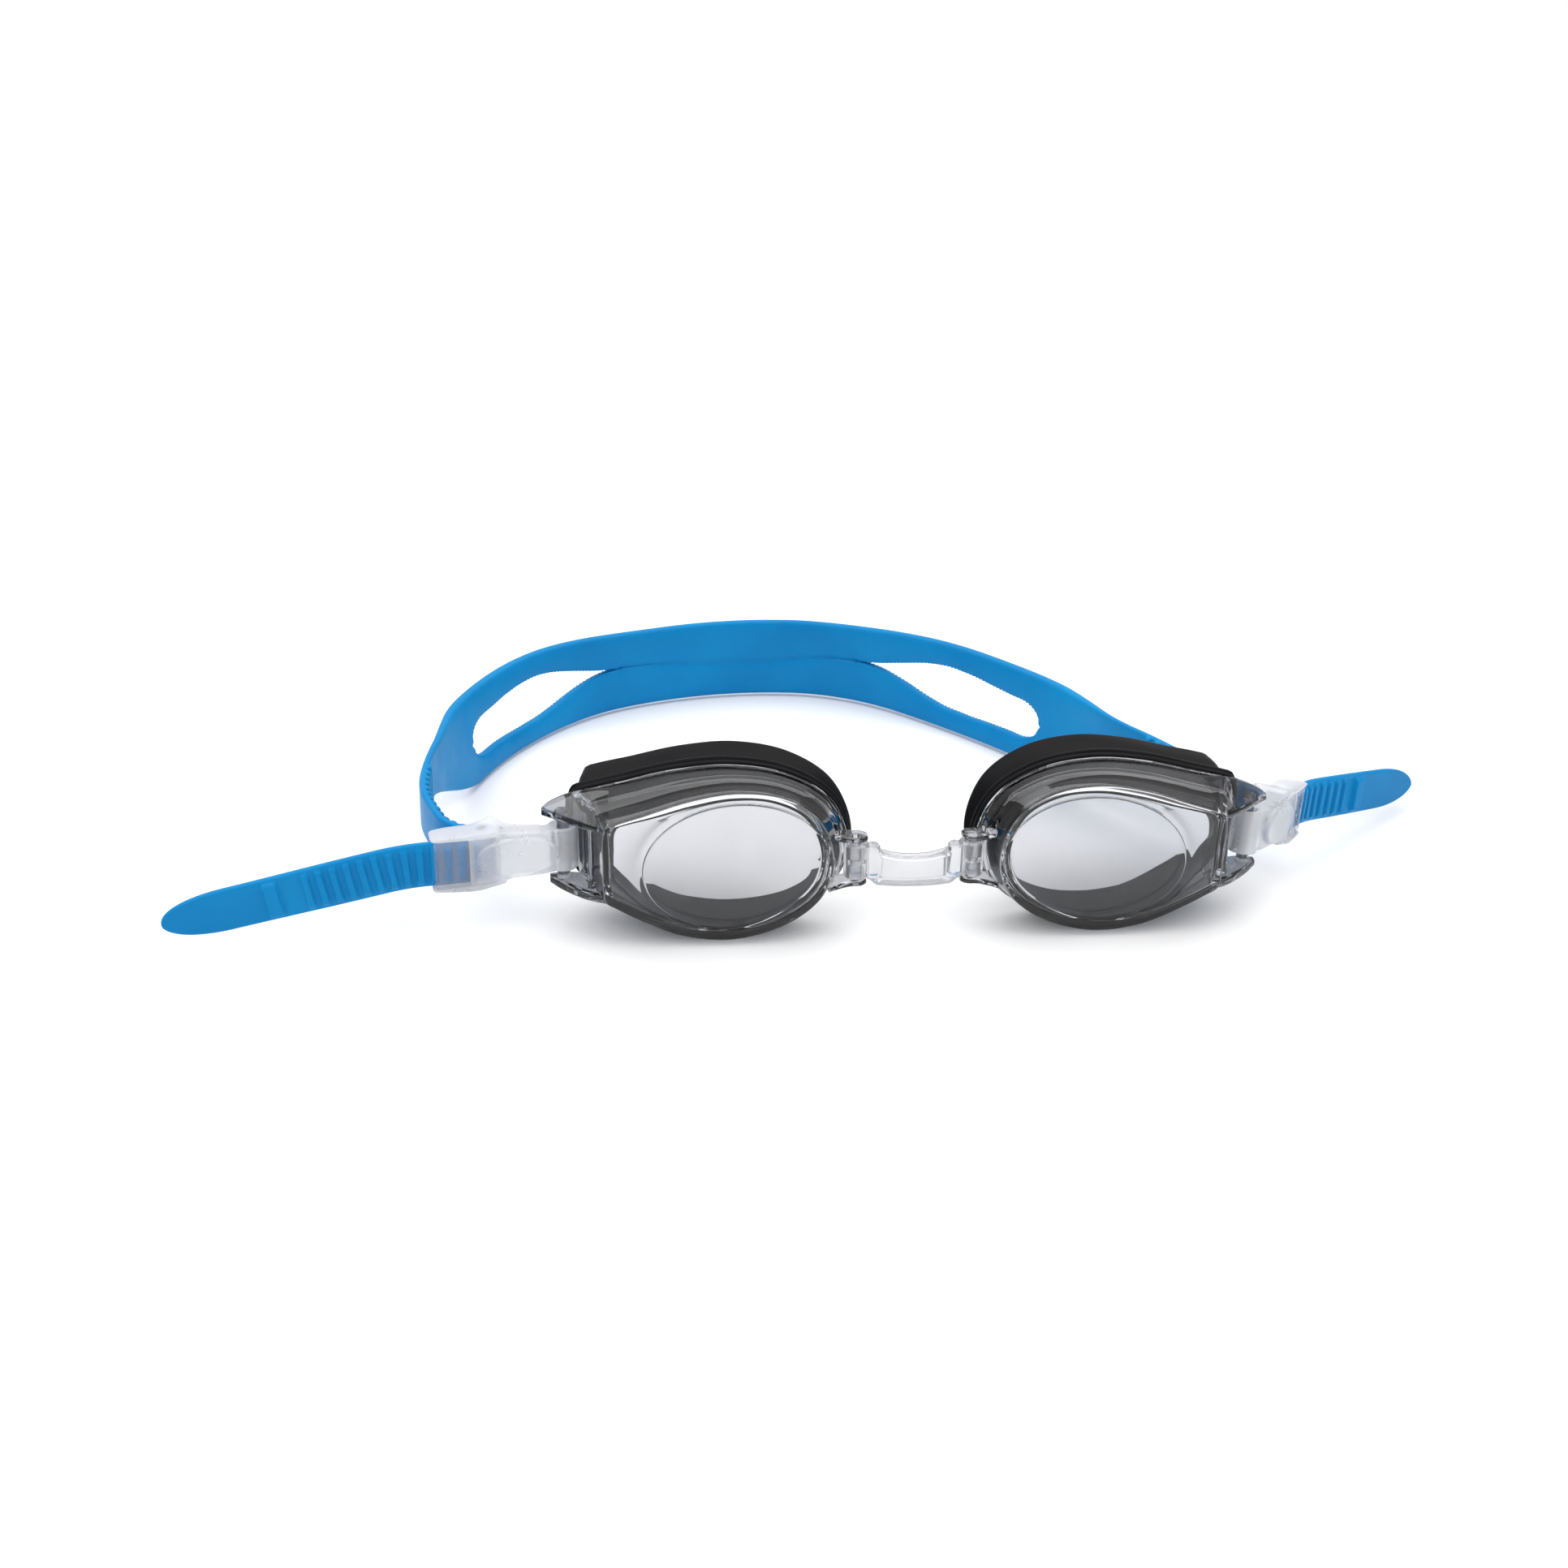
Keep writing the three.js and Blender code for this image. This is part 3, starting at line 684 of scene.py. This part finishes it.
def gasket():
    """Face seal: lining inside the wall, a collar with a parting line, and the curved skirt."""
    def part(share):
        return lambda x, z: rim_depth(x) + GAP + COLLAR * share

    def edge(back):
        return lambda x, z: GASKET_DEPTH + GASKET_SLOPE[0] * x + GASKET_SLOPE[1] * z - back

    collar = part(0)
    at_face, at_rim = -WALL - 0.75, -RIM_LIP - WALL - GAP
    front = lambda x, z: FACE_THICKNESS + 0.6 + 7 * ease(x, 17, 25) * (1 - ease(z, -2, 5))
    lining = [between(ring_at(grown(FACE, at_face), front), ring_at(grown(RIM, at_rim), collar), t)
              for t in (0.0, 0.3, 0.6, 0.97)]
    profile = [(at_rim + 0.3, 0), (0.1, 0), (0.35, 0.08), (0.45, 0.3), (0.45, 0.42), (0.2, 0.48),
               (0.55, 0.54), (0.8, 0.62), (0.88, 0.74), (0.8, 0.88), (0.5, 0.99), (0, 1.04),
               (-0.7, 1.06), (-1.15, 1.12), (-1.35, 1.32)]
    outer = [ring_at(grown(RIM, out), part(share)) for out, share in profile]
    low, high = ring_at(grown(RIM, -1.3), part(1.5)), ring_at(grown(SEAL, -0.45), edge(1.4))
    skirt = []
    for t in (0.0, 0.2, 0.4, 0.6, 0.8, 1.0):
        wall = between(low, high, t)
        bow = 0.35 * math.sin(math.pi * t)
        skirt.append(ring_at(grown(wall[:, [0, 2]], bow), lambda x, z, y=wall[:, 1]: y))
    lip = [ring_at(grown(SEAL, -0.5), edge(0.7)), ring_at(grown(SEAL, -0.75), edge(0.2)),
           ring_at(grown(SEAL, -1.1), edge(0)), ring_at(grown(SEAL, -1.45), edge(0.1)),
           ring_at(grown(SEAL, -1.7), edge(0.5))]
    low, high = ring_at(grown(SEAL, -1.75), edge(1.2)), ring_at(grown(RIM, at_rim - LINING), part(1.0))
    inside = [between(low, high, t) for t in (0, 0.33, 0.66, 1.0)]
    low, high = inside[-1], ring_at(grown(FACE, at_face - LINING), front)
    inside += [between(low, high, t) for t in (0.3, 0.65, 1.0)]
    return skin([*lining, *outer, *skirt, *lip, *inside], loop=True)


def build_cup(name, sign):
    def set_down(points):
        points = np.array(points, float) + np.array([LENS_X, 0, 0])
        points[:, 2] = np.maximum(points[:, 2], TABLE + SEAT)
        return mirrored(points, sign)

    cup = joined(f"{name}_cup_clear_body", [cup_shell(), *cup_wing(), *nose_lug()], set_down)
    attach(finish_piece(cup, SMOKE, f"{name}_lens_cup"), f"{name}_cup")
    points, faces = gasket()
    seal = make_mesh(f"{name}_face_seal", set_down(points), faces, 50)
    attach(finish_piece(seal, RUBBER, f"{name}_gasket"), f"{name}_cup")


# ---- Nose bridge ----------------------------------------------------------------------------
def build_bridge():
    """Web with a raised border round a recessed panel, and an eye at each end."""
    reach = PIN.x - 2.2
    rings = []
    for x in np.linspace(-reach, reach, 41):
        t = abs(x) / reach
        top = -0.7 + 3.3 * t**2.4
        bottom = -7.5 + 0.9 * t**2 + 1.4 * float(ease(t, 0.75, 1))
        border, step, soft = 0.9, 0.35, 0.3
        full = 1.6
        panel = lerp(0.75, full, float(ease(t, 0.62, 0.78)))
        half = [(full - soft, bottom), (full, bottom + soft), (full, bottom + border),
                (panel, bottom + border + step), (panel, top - border - step), (full, top - border),
                (full, top - soft), (full - soft, top)]
        outline = [(-y, z) for y, z in half] + [(y, z) for y, z in reversed(half)]
        rings.append(np.array([(x, PIN.y + y, z) for y, z in outline]))
    solids = [skin(rings)]
    cuts = []
    for sign in (-1, 1):
        x = sign * PIN.x
        solids.append(skin(rod(x, PIN.y, 2.7, -5.2, 3.0, soft=0.4)))
        solids.append(skin(rod(sign * (PIN.x - 3.6), PIN.y, 2.0, -5.6, 2.2, wide=0.8, soft=0.4)))
        cuts.append(skin(rod(x, PIN.y, PIN_RADIUS + GAP, -7, 5, soft=0.01)))
        notch = [slab(PIN.y - 4, PIN.y - 1.4, -1.6, -0.4, x + d, 6) for d in (-1.9, 1.9)]
        cuts.append(skin(notch))
    bridge = joined("nose_bridge_body", solids, lambda p: np.array(p, float), cuts, 30)
    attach(finish_piece(bridge, CRYSTAL, "nose_bridge"), "frame")


# ---- Strap clips ----------------------------------------------------------------------------
def clip_matrix(side):
    """From a clip's own frame (x out from the post, y back, z up) to the drawing."""
    turn = Matrix.Rotation(math.radians(side["yaw"]), 4, "Z")
    hang = Matrix.Rotation(math.radians(side["droop"]), 4, "Y")
    flip = Matrix.Diagonal((side["sign"], 1, 1, 1))
    return flip @ Matrix.Translation(POST) @ turn @ hang


def by_matrix(matrix):
    m = np.array(matrix)
    return lambda points: np.asarray(points, float) @ m[:3, :3].T + m[:3, 3]


def prism(outline, y0, y1):
    """A plate seen from the front: an (x, z) outline between two depths."""
    return skin([np.array([(x, y, z) for x, z in outline]) for y in (y0, y1)])


def rounded(x0, x1, z0, z1, radius=0.8, steps=5):
    """A rounded rectangle as an (x, z) outline."""
    corners = [(x1 - radius, z1 - radius, 0), (x0 + radius, z1 - radius, 90),
               (x0 + radius, z0 + radius, 180), (x1 - radius, z0 + radius, 270)]
    outline = []
    for x, z, start in corners:
        for k in range(steps + 1):
            a = math.radians(start + 90 * k / steps)
            outline.append((x + radius * math.cos(a), z + radius * math.sin(a)))
    return outline


def clip_solids():
    """The closed pieces that a clip is melted together from, in the clip's own frame."""
    body = smooth_rings([
        slab(-3.0, 2.2, -5.1, 5.0, 1.6, 5), slab(CLIP_FRONT + 0.4, 1.2, -5.1, 5.2, 4.5, 6),
        slab(CLIP_FRONT, 0.6, -4.9, 5.2, 8, 7), slab(CLIP_FRONT, 0.5, -5.0, 5.4, 11.5, 7),
        slab(CLIP_FRONT, 0.5, -5.8, 5.9, 14.2, 7),
    ], 5)
    solids = [skin(body)]
    solids.append(skin(rod(BAR_U, 0, BAR_RADIUS, -6, 6)))
    cheek_top = [(-3.6, 1.0, 4.2, 5.4, 5.0), (-4.4, 1.0, 4.6, 5.9, 9.5), (-4.7, 1.6, 5.2, 6.4, 12.6),
                 (-4.8, 4.4, CHEEK, 7.1, 15.0), (-4.8, 3.0, CHEEK, 6.9, 17.0),
                 (-4.8, 2.1, CHEEK, 6.6, 20), (-4.6, 1.9, CHEEK, 6.5, 25),
                 (-4.2, 1.4, CHEEK, 6.3, 28.2), (-3.4, 0.6, CHEEK + 0.1, 6.1, 28.9)]
    cheek_low = [(-4.6, 0.8, -5.8, -4.9, 14.2), (-4.7, 1.9, -6.2, -5.2, 16.6),
                 (-4.8, 2.6, -6.6, -CHEEK, 18.6), (-4.8, 2.1, -6.7, -CHEEK, 21),
                 (-4.6, 1.9, -6.5, -CHEEK, 25), (-4.2, 1.4, -6.3, -CHEEK, 28.2),
                 (-3.4, 0.6, -6.1, -CHEEK - 0.1, 28.9)]
    for cheek in (cheek_top, cheek_low):
        solids.append(skin(smooth_rings([slab(*section) for section in cheek], 5)))
    solids.append(prism(rounded(13.2, 20.4, -5.8, 5.8, 0.4), CLIP_FRONT, -3.3))
    wall = [slab(-4.6, -3.3, -5.7, 5.7, x, 4) for x in (19.9, 20.9)]
    solids.append(skin(wall))
    angle = circle(64)
    oval = lambda wide, y: np.column_stack([10.6 + 9.0 * wide * np.cos(angle), np.full(64, y),
                                            0.3 + 4.6 * wide * np.sin(angle)])
    solids.append(skin([oval(1.0, CLIP_FRONT + 0.4), oval(1.0, CLIP_FRONT - 0.45),
                        oval(0.97, CLIP_FRONT - 0.75), oval(0.92, CLIP_FRONT - 0.85)]))
    return solids


def cover_solids():
    """The thin window over the strap, with a rib across it and a small nib."""
    angle = circle(64)
    plate = prism(rounded(20.4, CLIP_LENGTH - 0.4, -5.75, 5.75, 1.2), -3.95, -3.3)
    rib = [slab(-4.35, -3.5, -5.4, 5.4, x, 4) for x in (25.3, 25.8)]
    nib = [np.column_stack([22.9 + r * np.cos(angle), np.full(64, y), -0.4 + r * 0.8 * np.sin(angle)])
           for r, y in ((0.95, -3.7), (0.85, -4.25), (0.4, -4.5))]
    return [plate, skin(rib), skin(nib)]


def loop_solid():
    """Sleeve round the post with its lengthwise hole."""
    size = 96
    angle = circle(size)
    outer = lambda r, z: np.column_stack([0.1 + r * np.cos(angle), r * np.sin(angle), np.full(size, z)])
    long, short = POST_RADIUS + 1.2, POST_RADIUS + 0.5
    hole = lambda d, z: np.column_stack([(long + d) * np.cos(angle), (short + d) * np.sin(angle),
                                         np.full(size, z)])
    full, soft = LOOP_RADIUS, LOOP_RADIUS - 0.25
    return skin([outer(soft, -5.0), outer(full, -4.7), outer(full, 4.7), outer(soft, 5.0),
                 hole(0.25, 5.0), hole(0, 4.7), hole(0, -4.7), hole(0.25, -5.0)], loop=True)


def build_clip(name, side):
    to_drawing = by_matrix(clip_matrix(side))
    clip = moulded(f"{name}_clip_body", [*clip_solids(), loop_solid()], to_drawing)
    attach(finish_piece(clip, MILKY, f"{name}_strap_clip"), f"{name}_clip")
    cover = moulded(f"{name}_clip_cover", cover_solids(), to_drawing)
    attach(finish_piece(cover, THIN_MILKY), f"{name}_clip")


# ---- Strap ----------------------------------------------------------------------------------
def fold_exit(side):
    """Where the strap leaves the turn round a clip's bar, seen from above."""
    a, yaw = math.radians(side["fold_end"]), math.radians(side["yaw"])
    x = BAR_U + FOLD_RADIUS * math.cos(a) + FOLD_GAP * math.sin(a)
    y = FOLD_RADIUS * math.sin(a) - FOLD_GAP * math.cos(a)
    return (side["sign"] * (POST.x + x * math.cos(yaw) - y * math.sin(yaw)),
            POST.y + x * math.sin(yaw) + y * math.cos(yaw))


class Route:
    """The strap's middle seen from above, measured from the rear centre."""

    def __init__(self, points):
        self.points = curve(points, 40)
        self.along = measured(self.points)
        self.length = self.along[-1]
        self.centre = REAR_CENTRE * self.length

    def at(self, distance):
        s = np.asarray(distance, float) + self.centre
        here = np.column_stack([np.interp(s, self.along, self.points[:, k]) for k in range(2)])
        ahead = np.column_stack([np.interp(s + 0.4, self.along, self.points[:, k]) for k in range(2)])
        behind = np.column_stack([np.interp(s - 0.4, self.along, self.points[:, k]) for k in range(2)])
        way = ahead - behind
        way /= np.linalg.norm(way, axis=1, keepdims=True)
        return here, way


ROUTE = Route([fold_exit(SIDES["left"]), *STRAP_ROUTE, fold_exit(SIDES["right"])])


def strap_edges(distance):
    """Heights of the strap's lower and upper edges."""
    distance = np.asarray(distance, float)
    far = np.abs(distance)
    droop = np.where(distance < 0, SIDES["left"]["droop"], SIDES["right"]["droop"])
    clip_top = POST.z - BAR_U * np.sin(np.radians(droop)) + STRAP_WIDTH / 2
    rear_top = REAR_TOP + 1.5 * ease(far, 20, 60)
    top = lerp(rear_top, clip_top, ease(far, 130, 162))
    bottom = lerp(TABLE + REAR_LIFT, top - STRAP_WIDTH, ease(far, 91, REAR_END + 2))
    return bottom, top


def slot_half(distance):
    """Half height of the slot: a long pointed inner end and a round outer end."""
    far = np.abs(np.asarray(distance, float))
    opening = SLOT_HALF * ease(far, SLOT_START, SLOT_START + 30) * (1 - 0.14 * ease(far, 66, 84))
    radius = 8.0
    past = np.clip((far - (SLOT_END - radius)) / radius, 0, 1)
    opening = opening * np.sqrt(1 - past**2)
    return np.where((far > SLOT_START) & (far < SLOT_END), opening, 0)


def slot_middle(distance):
    """Height of the slot's middle."""
    far = np.abs(np.asarray(distance, float))
    bottom, top = strap_edges(distance)
    inner = -6.9 - 1.6 * ease(far, SLOT_START, SLOT_END)
    return lerp(inner, (top + bottom) / 2, ease(far, SLOT_END, SLOT_END + 30))


def edge_round(gap, radius=0.75):
    """Share of the full thickness at a distance from a free edge."""
    t = np.clip(gap / radius, 0, 1)
    return np.sqrt(1 - (1 - t) ** 2)


def lean(distance):
    """How far the strap leans outwards for each millimetre up."""
    far = np.abs(distance)
    return 0.16 * ease(far, 30, 70) * (1 - ease(far, 95, 120))


def on_route(distance, heights, offset):
    """Points of the strap: heights up and offset outwards from its middle surface."""
    here, way = ROUTE.at(distance)
    out = np.column_stack([-way[:, 1], way[:, 0]])
    shift = offset + lean(distance) * (heights + 8)
    return np.column_stack([here + out * shift[:, None], heights])


def slot_gap(distance, height):
    """Distance from the nearest slot's edge, measured beyond its ends too."""
    sample = np.linspace(SLOT_START, SLOT_END, 60)
    opening, centre = slot_half(sample), slot_middle(sample)
    beyond = np.maximum(np.abs(height - centre) - opening, 0)
    return float(np.hypot(sample - abs(distance), beyond).min())


def rear_half_thickness(distance, height, free_gap):
    """Half thickness of the rear moulding: cushions that thin at edges, slots and the groove."""
    far = abs(distance)
    gap = min(free_gap, slot_gap(distance, height))
    seam_height = SEAM_HEIGHT + 2.5 * ease(far, 0, SLOT_START)
    groove = math.hypot(height - seam_height, max(0.0, far - SLOT_START))
    swell = 1 - float(ease(far, 98, 127))
    cushion = 0.4 + 0.6 * float(edge_round(gap, 3.0))
    dip = 1 - 0.6 * (1 - float(edge_round(groove, 2.2)))
    full = lerp(STRAP_THICKNESS, REAR_THICKNESS * cushion * dip, swell)
    return full / 2 * float(edge_round(gap, lerp(0.75, 0.5, swell)))


def rear_stations():
    """Distances along the rear moulding, closer together at the ends of the slots."""
    even = np.linspace(-REAR_END, REAR_END, REAR_COLUMNS)
    marks = np.array([s * v for s in (-1, 1) for v in (SLOT_START, SLOT_END)])
    fine = np.concatenate([m + np.array([-0.3, -0.1, 0, 0.1, 0.3]) for m in marks])
    return np.unique(np.round(np.concatenate([even, fine]), 4))


def build_rear_band():
    """The wide rear moulding: two bands that part round a slot on each side and join again."""
    stations = rear_stations()
    rows = (1 - np.cos(np.linspace(0, math.pi, REAR_ROWS))) / 2
    last = len(rows) - 1
    bottom, top = strap_edges(stations)
    middle, half = slot_middle(stations), slot_half(stations)
    spans = ((bottom, middle - half), (middle + half, top))
    far = np.abs(stations)
    slot_ends = (np.abs(far - SLOT_START) < 1e-6) | (np.abs(far - SLOT_END) < 1e-6)
    points, index = [], {}

    def vertex(i, band, row, face):
        """Index of a grid point; the two faces share it on a free edge."""
        seam = (band, row) in ((0, last), (1, 0))
        free = (band, row) in ((0, 0), (1, last)) or (seam and (half[i] > 0 or slot_ends[i]))
        shared = 0 if seam and half[i] == 0 else band
        key = (i, shared, "seam" if seam else row, "edge" if free else face)
        if key not in index:
            low, high = spans[band]
            height = lerp(low[i], high[i], rows[row])
            free_gap = min(height - bottom[i], top[i] - height)
            offset = 0 if free else face * rear_half_thickness(stations[i], height, free_gap)
            points.append(on_route(stations[i : i + 1], np.array([height]), np.array([offset]))[0])
            index[key] = len(points) - 1
        return index[key]

    faces = []
    for i in range(len(stations) - 1):
        for band in (0, 1):
            for row in range(last):
                for face in (1, -1):
                    quad = [vertex(i, band, row, face), vertex(i + 1, band, row, face),
                            vertex(i + 1, band, row + 1, face), vertex(i, band, row + 1, face)]
                    quad = list(dict.fromkeys(quad))
                    if len(quad) > 2:
                        faces.append(tuple(quad))
    for i in (0, len(stations) - 1):
        outline = [vertex(i, b, r, 1) for b in (0, 1) for r in range(len(rows))]
        back = [vertex(i, b, r, -1) for b in (0, 1) for r in range(len(rows))]
        faces.append(tuple(dict.fromkeys(outline + back[::-1])))
    band = make_mesh("strap_rear_band", points, faces, 70)
    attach(finish_piece(band, BLUE, "strap_rear"), "frame")


def ribs(along, first, last):
    """Rib height along a strap: rounded ridges RIB_PITCH apart between two distances."""
    phase = np.cos(2 * math.pi * (along - first) / RIB_PITCH)
    ridge = np.clip(0.5 - 1.4 * phase, 0, 1)
    inside = ease(along, first - 0.2, first + 0.6) * (1 - ease(along, last - 0.6, last + 0.2))
    return RIB_HEIGHT * ridge * inside


UP = np.array([0, 0, 1.0])


def strap_ring(middle, out, up, half_width, front=0.0, back=0.0, margin=0.9):
    """A strap's cross-section: rounded edges, ribs kept a margin clear of them."""
    rows = (1 - np.cos(np.linspace(0, math.pi, SECTION_ROWS))) / 2 * 2 - 1
    gap = (1 - np.abs(rows)) * half_width
    thick = STRAP_THICKNESS / 2 * edge_round(gap)
    clear = ease(gap, margin, margin + 0.5)
    spine = [middle + up * v * half_width for v in rows]
    face = [p + out * (t + front * c) for p, t, c in zip(spine, thick, clear)]
    rear = [p - out * (t + back * c) for p, t, c in zip(spine, thick, clear)]
    return np.array(face + rear[-2:0:-1])


def build_run(name, side):
    """Plain strap from the rear moulding to the clip, ribbed on its inner face."""
    sign = side["sign"]
    end = ROUTE.centre if sign < 0 else ROUTE.length - ROUTE.centre
    halfway = (REAR_END + end) / 2
    parts = (("back", REAR_END, halfway, "frame", f"{name}_cup"),
             ("front", halfway, end, f"{name}_cup", f"{name}_clip"))
    for part, start, stop, body_a, body_b in parts:
        far = np.linspace(start, stop, 90)
        bottom, top = strap_edges(sign * far)
        here, way = ROUTE.at(sign * far)
        ridge = ribs(far, RIB_START, end)
        rings = []
        for k in range(len(far)):
            middle = np.array([*here[k], (bottom[k] + top[k]) / 2])
            out = np.array([-way[k][1], way[k][0], 0])
            rings.append(strap_ring(middle, out, UP, (top[k] - bottom[k]) / 2, back=ridge[k],
                                    margin=0.05))
        points, faces = skin(rings)
        run = make_mesh(f"{name}_strap_run_{part}", points, faces, 70)
        finish_piece(run, BLUE, *([f"{name}_strap_run"] if part == "front" else []))
        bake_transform(run)


def build_fold(name, side):
    """The turn round the clip's bar."""
    to_drawing = by_matrix(clip_matrix(side))
    rings = []
    for degrees in np.linspace(-90, side["fold_end"] - 360, 60):
        a = math.radians(degrees)
        out = np.array([math.cos(a), math.sin(a), 0])
        middle = np.array([BAR_U, 0, 0]) + out * FOLD_RADIUS
        rings.append(strap_ring(middle, out, UP, STRAP_WIDTH / 2))
    points, faces = skin(rings)
    fold = make_mesh(f"{name}_strap_turn", to_drawing(points), faces, 70)
    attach(finish_piece(fold, BLUE, f"{name}_strap_fold"), f"{name}_clip")


def build_tail(name, side):
    """Free end: under the clip's cover, then ribs, a stop ridge and a tongue tip."""
    to_drawing = by_matrix(clip_matrix(side))
    start = BAR_U - 0.1
    total = CLIP_LENGTH - start + side["tail"]
    steps = 420
    stop_at = side["tail"] - 24       # the stop ridge, beyond the clip
    half_stop = 1.2
    at = np.array([start, -FOLD_RADIUS, 0.0])
    rings = []
    for i in range(steps + 1):
        run = total * i / steps
        beyond = run + start - CLIP_LENGTH
        bend = float(ease(beyond, 0, 12))
        yaw, droop = math.radians(side["tail_yaw"] * bend), math.radians(side["tail_droop"] * bend)
        way = np.array([math.cos(yaw) * math.cos(droop), math.sin(yaw) * math.cos(droop),
                        -math.sin(droop)])
        out = np.array([math.sin(yaw), -math.cos(yaw), 0])
        up = np.cross(out, way)
        up *= np.sign(up[2])
        to_tip = (total - run) / 15
        tongue = math.sqrt(max(0.0, 1 - (1 - to_tip) ** 2.2)) if to_tip < 1 else 1
        half = max(0.05, STRAP_WIDTH / 2 * (1 - 0.05 * float(ease(beyond, 15, 45))) * tongue)
        ridge = float(ribs(np.array([beyond]), -11, stop_at - 5.5)[0])
        rise = ease(beyond, stop_at - 1.7, stop_at - half_stop)
        fall = ease(beyond, stop_at + half_stop, stop_at + 2)
        stop = 1.1 * float(rise * (1 - fall))
        rings.append(strap_ring(at.copy(), out, up, half, ridge + stop))
        at = at + way * total / steps
    points, faces = skin(rings)
    tail = make_mesh(f"{name}_strap_free_end", to_drawing(points), faces, 70)
    finish_piece(tail, BLUE, f"{name}_strap_tail")
    a, b = place(to_drawing([[start, -FOLD_RADIUS, 0], [CLIP_LENGTH - 1, -FOLD_RADIUS, 0]]))
    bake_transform(tail)


# ---- Build ----------------------------------------------------------------------------------
build_bridge()
build_rear_band()
for side_name, side_facts in SIDES.items():
    build_cup(side_name, side_facts["sign"])
    build_clip(side_name, side_facts)
    build_run(side_name, side_facts)
    build_fold(side_name, side_facts)
    build_tail(side_name, side_facts)


# ---- Floor, light and camera ----------------------------------------------------------------
def build_floor():
    side, near, away = 3000, -1500, 4000
    points = [(-side, near, TABLE), (side, near, TABLE), (side, away, TABLE), (-side, away, TABLE)]
    floor = make_mesh("floor", points, [(0, 1, 2, 3)])
    material, shader, where = new_material("pale_floor")
    cloud = noise(material, where, 3, 2)
    colour = tint(material, cloud, (0.9, 0.9, 0.9), (0.92, 0.92, 0.92))
    material.node_tree.links.new(colour, shader.inputs["Base Color"])
    shader.inputs["Roughness"].default_value = 0.8
    floor.data.materials.append(material)


def softbox(name, place_at, aim, size, watts):
    """A rectangular lamp of a size in metres, from one drawing point towards another."""
    light = bpy.data.lights.new(name, "AREA")
    light.shape = "RECTANGLE"
    light.size, light.size_y = size
    light.energy = watts
    obj = add_object(name, light)
    obj.location = Vector(place([place_at])[0])
    target = Vector(place([aim])[0])
    obj.rotation_euler = (target - obj.location).to_track_quat("-Z", "Y").to_euler()


def build_lights():
    """A wide soft ceiling over a dim room, darker behind the viewer, with two small panels."""
    world = bpy.data.worlds.new("studio")
    world.use_nodes = True
    nodes, links = world.node_tree.nodes, world.node_tree.links
    where = nodes.new("ShaderNodeTexCoord")
    split = nodes.new("ShaderNodeSeparateXYZ")
    shade_by_depth = nodes.new("ShaderNodeMapRange")
    shade_by_depth.interpolation_type = "SMOOTHSTEP"
    shade_by_depth.inputs["From Min"].default_value = -0.9
    shade_by_depth.inputs["From Max"].default_value = 0.3
    shade_by_depth.inputs["To Min"].default_value = 0.16
    shade_by_depth.inputs["To Max"].default_value = 0.42
    links.new(where.outputs["Generated"], split.inputs["Vector"])
    links.new(split.outputs["Y"], shade_by_depth.inputs["Value"])
    links.new(shade_by_depth.outputs["Result"], nodes["Background"].inputs["Strength"])
    nodes["Background"].inputs["Color"].default_value = (1, 1, 1, 1)
    bpy.context.scene.world = world
    softbox("ceiling", (0, 700, 1700), (0, 700, 0), (4.0, 3.4), 75)
    softbox("key", (-450, -420, 520), (0, 20, 0), (0.4, 0.4), 1.6)
    softbox("fill", (520, -300, 380), (0, 20, 0), (0.3, 0.4), 0.8)


def build_camera():
    """A lens of normal length, a little left of centre and 25 degrees above the table."""
    azimuth, elevation, roll = math.radians(-5.6), math.radians(25), math.radians(-1.2)
    distance, across, rise = 500, -28.93, 16.4
    back = Vector((math.sin(azimuth) * math.cos(elevation), -math.cos(azimuth) * math.cos(elevation),
                   math.sin(elevation)))
    right = Vector((math.cos(azimuth), math.sin(azimuth), 0))
    up = back.cross(right)
    where = right * across + up * rise + back * distance
    turned_right = right * math.cos(roll) - up * math.sin(roll)
    turned_up = right * math.sin(roll) + up * math.cos(roll)
    data = bpy.data.cameras.new("camera")
    data.sensor_width = 36
    data.lens = 53.48
    camera = add_object("camera", data)
    turn = Matrix((turned_right, turned_up, back)).transposed().to_4x4()
    camera.matrix_world = Matrix.Translation(Vector(place([where])[0])) @ turn
    bpy.context.scene.camera = camera


build_floor()
build_lights()
build_camera()
bpy.context.scene.view_settings.view_transform = "Standard"
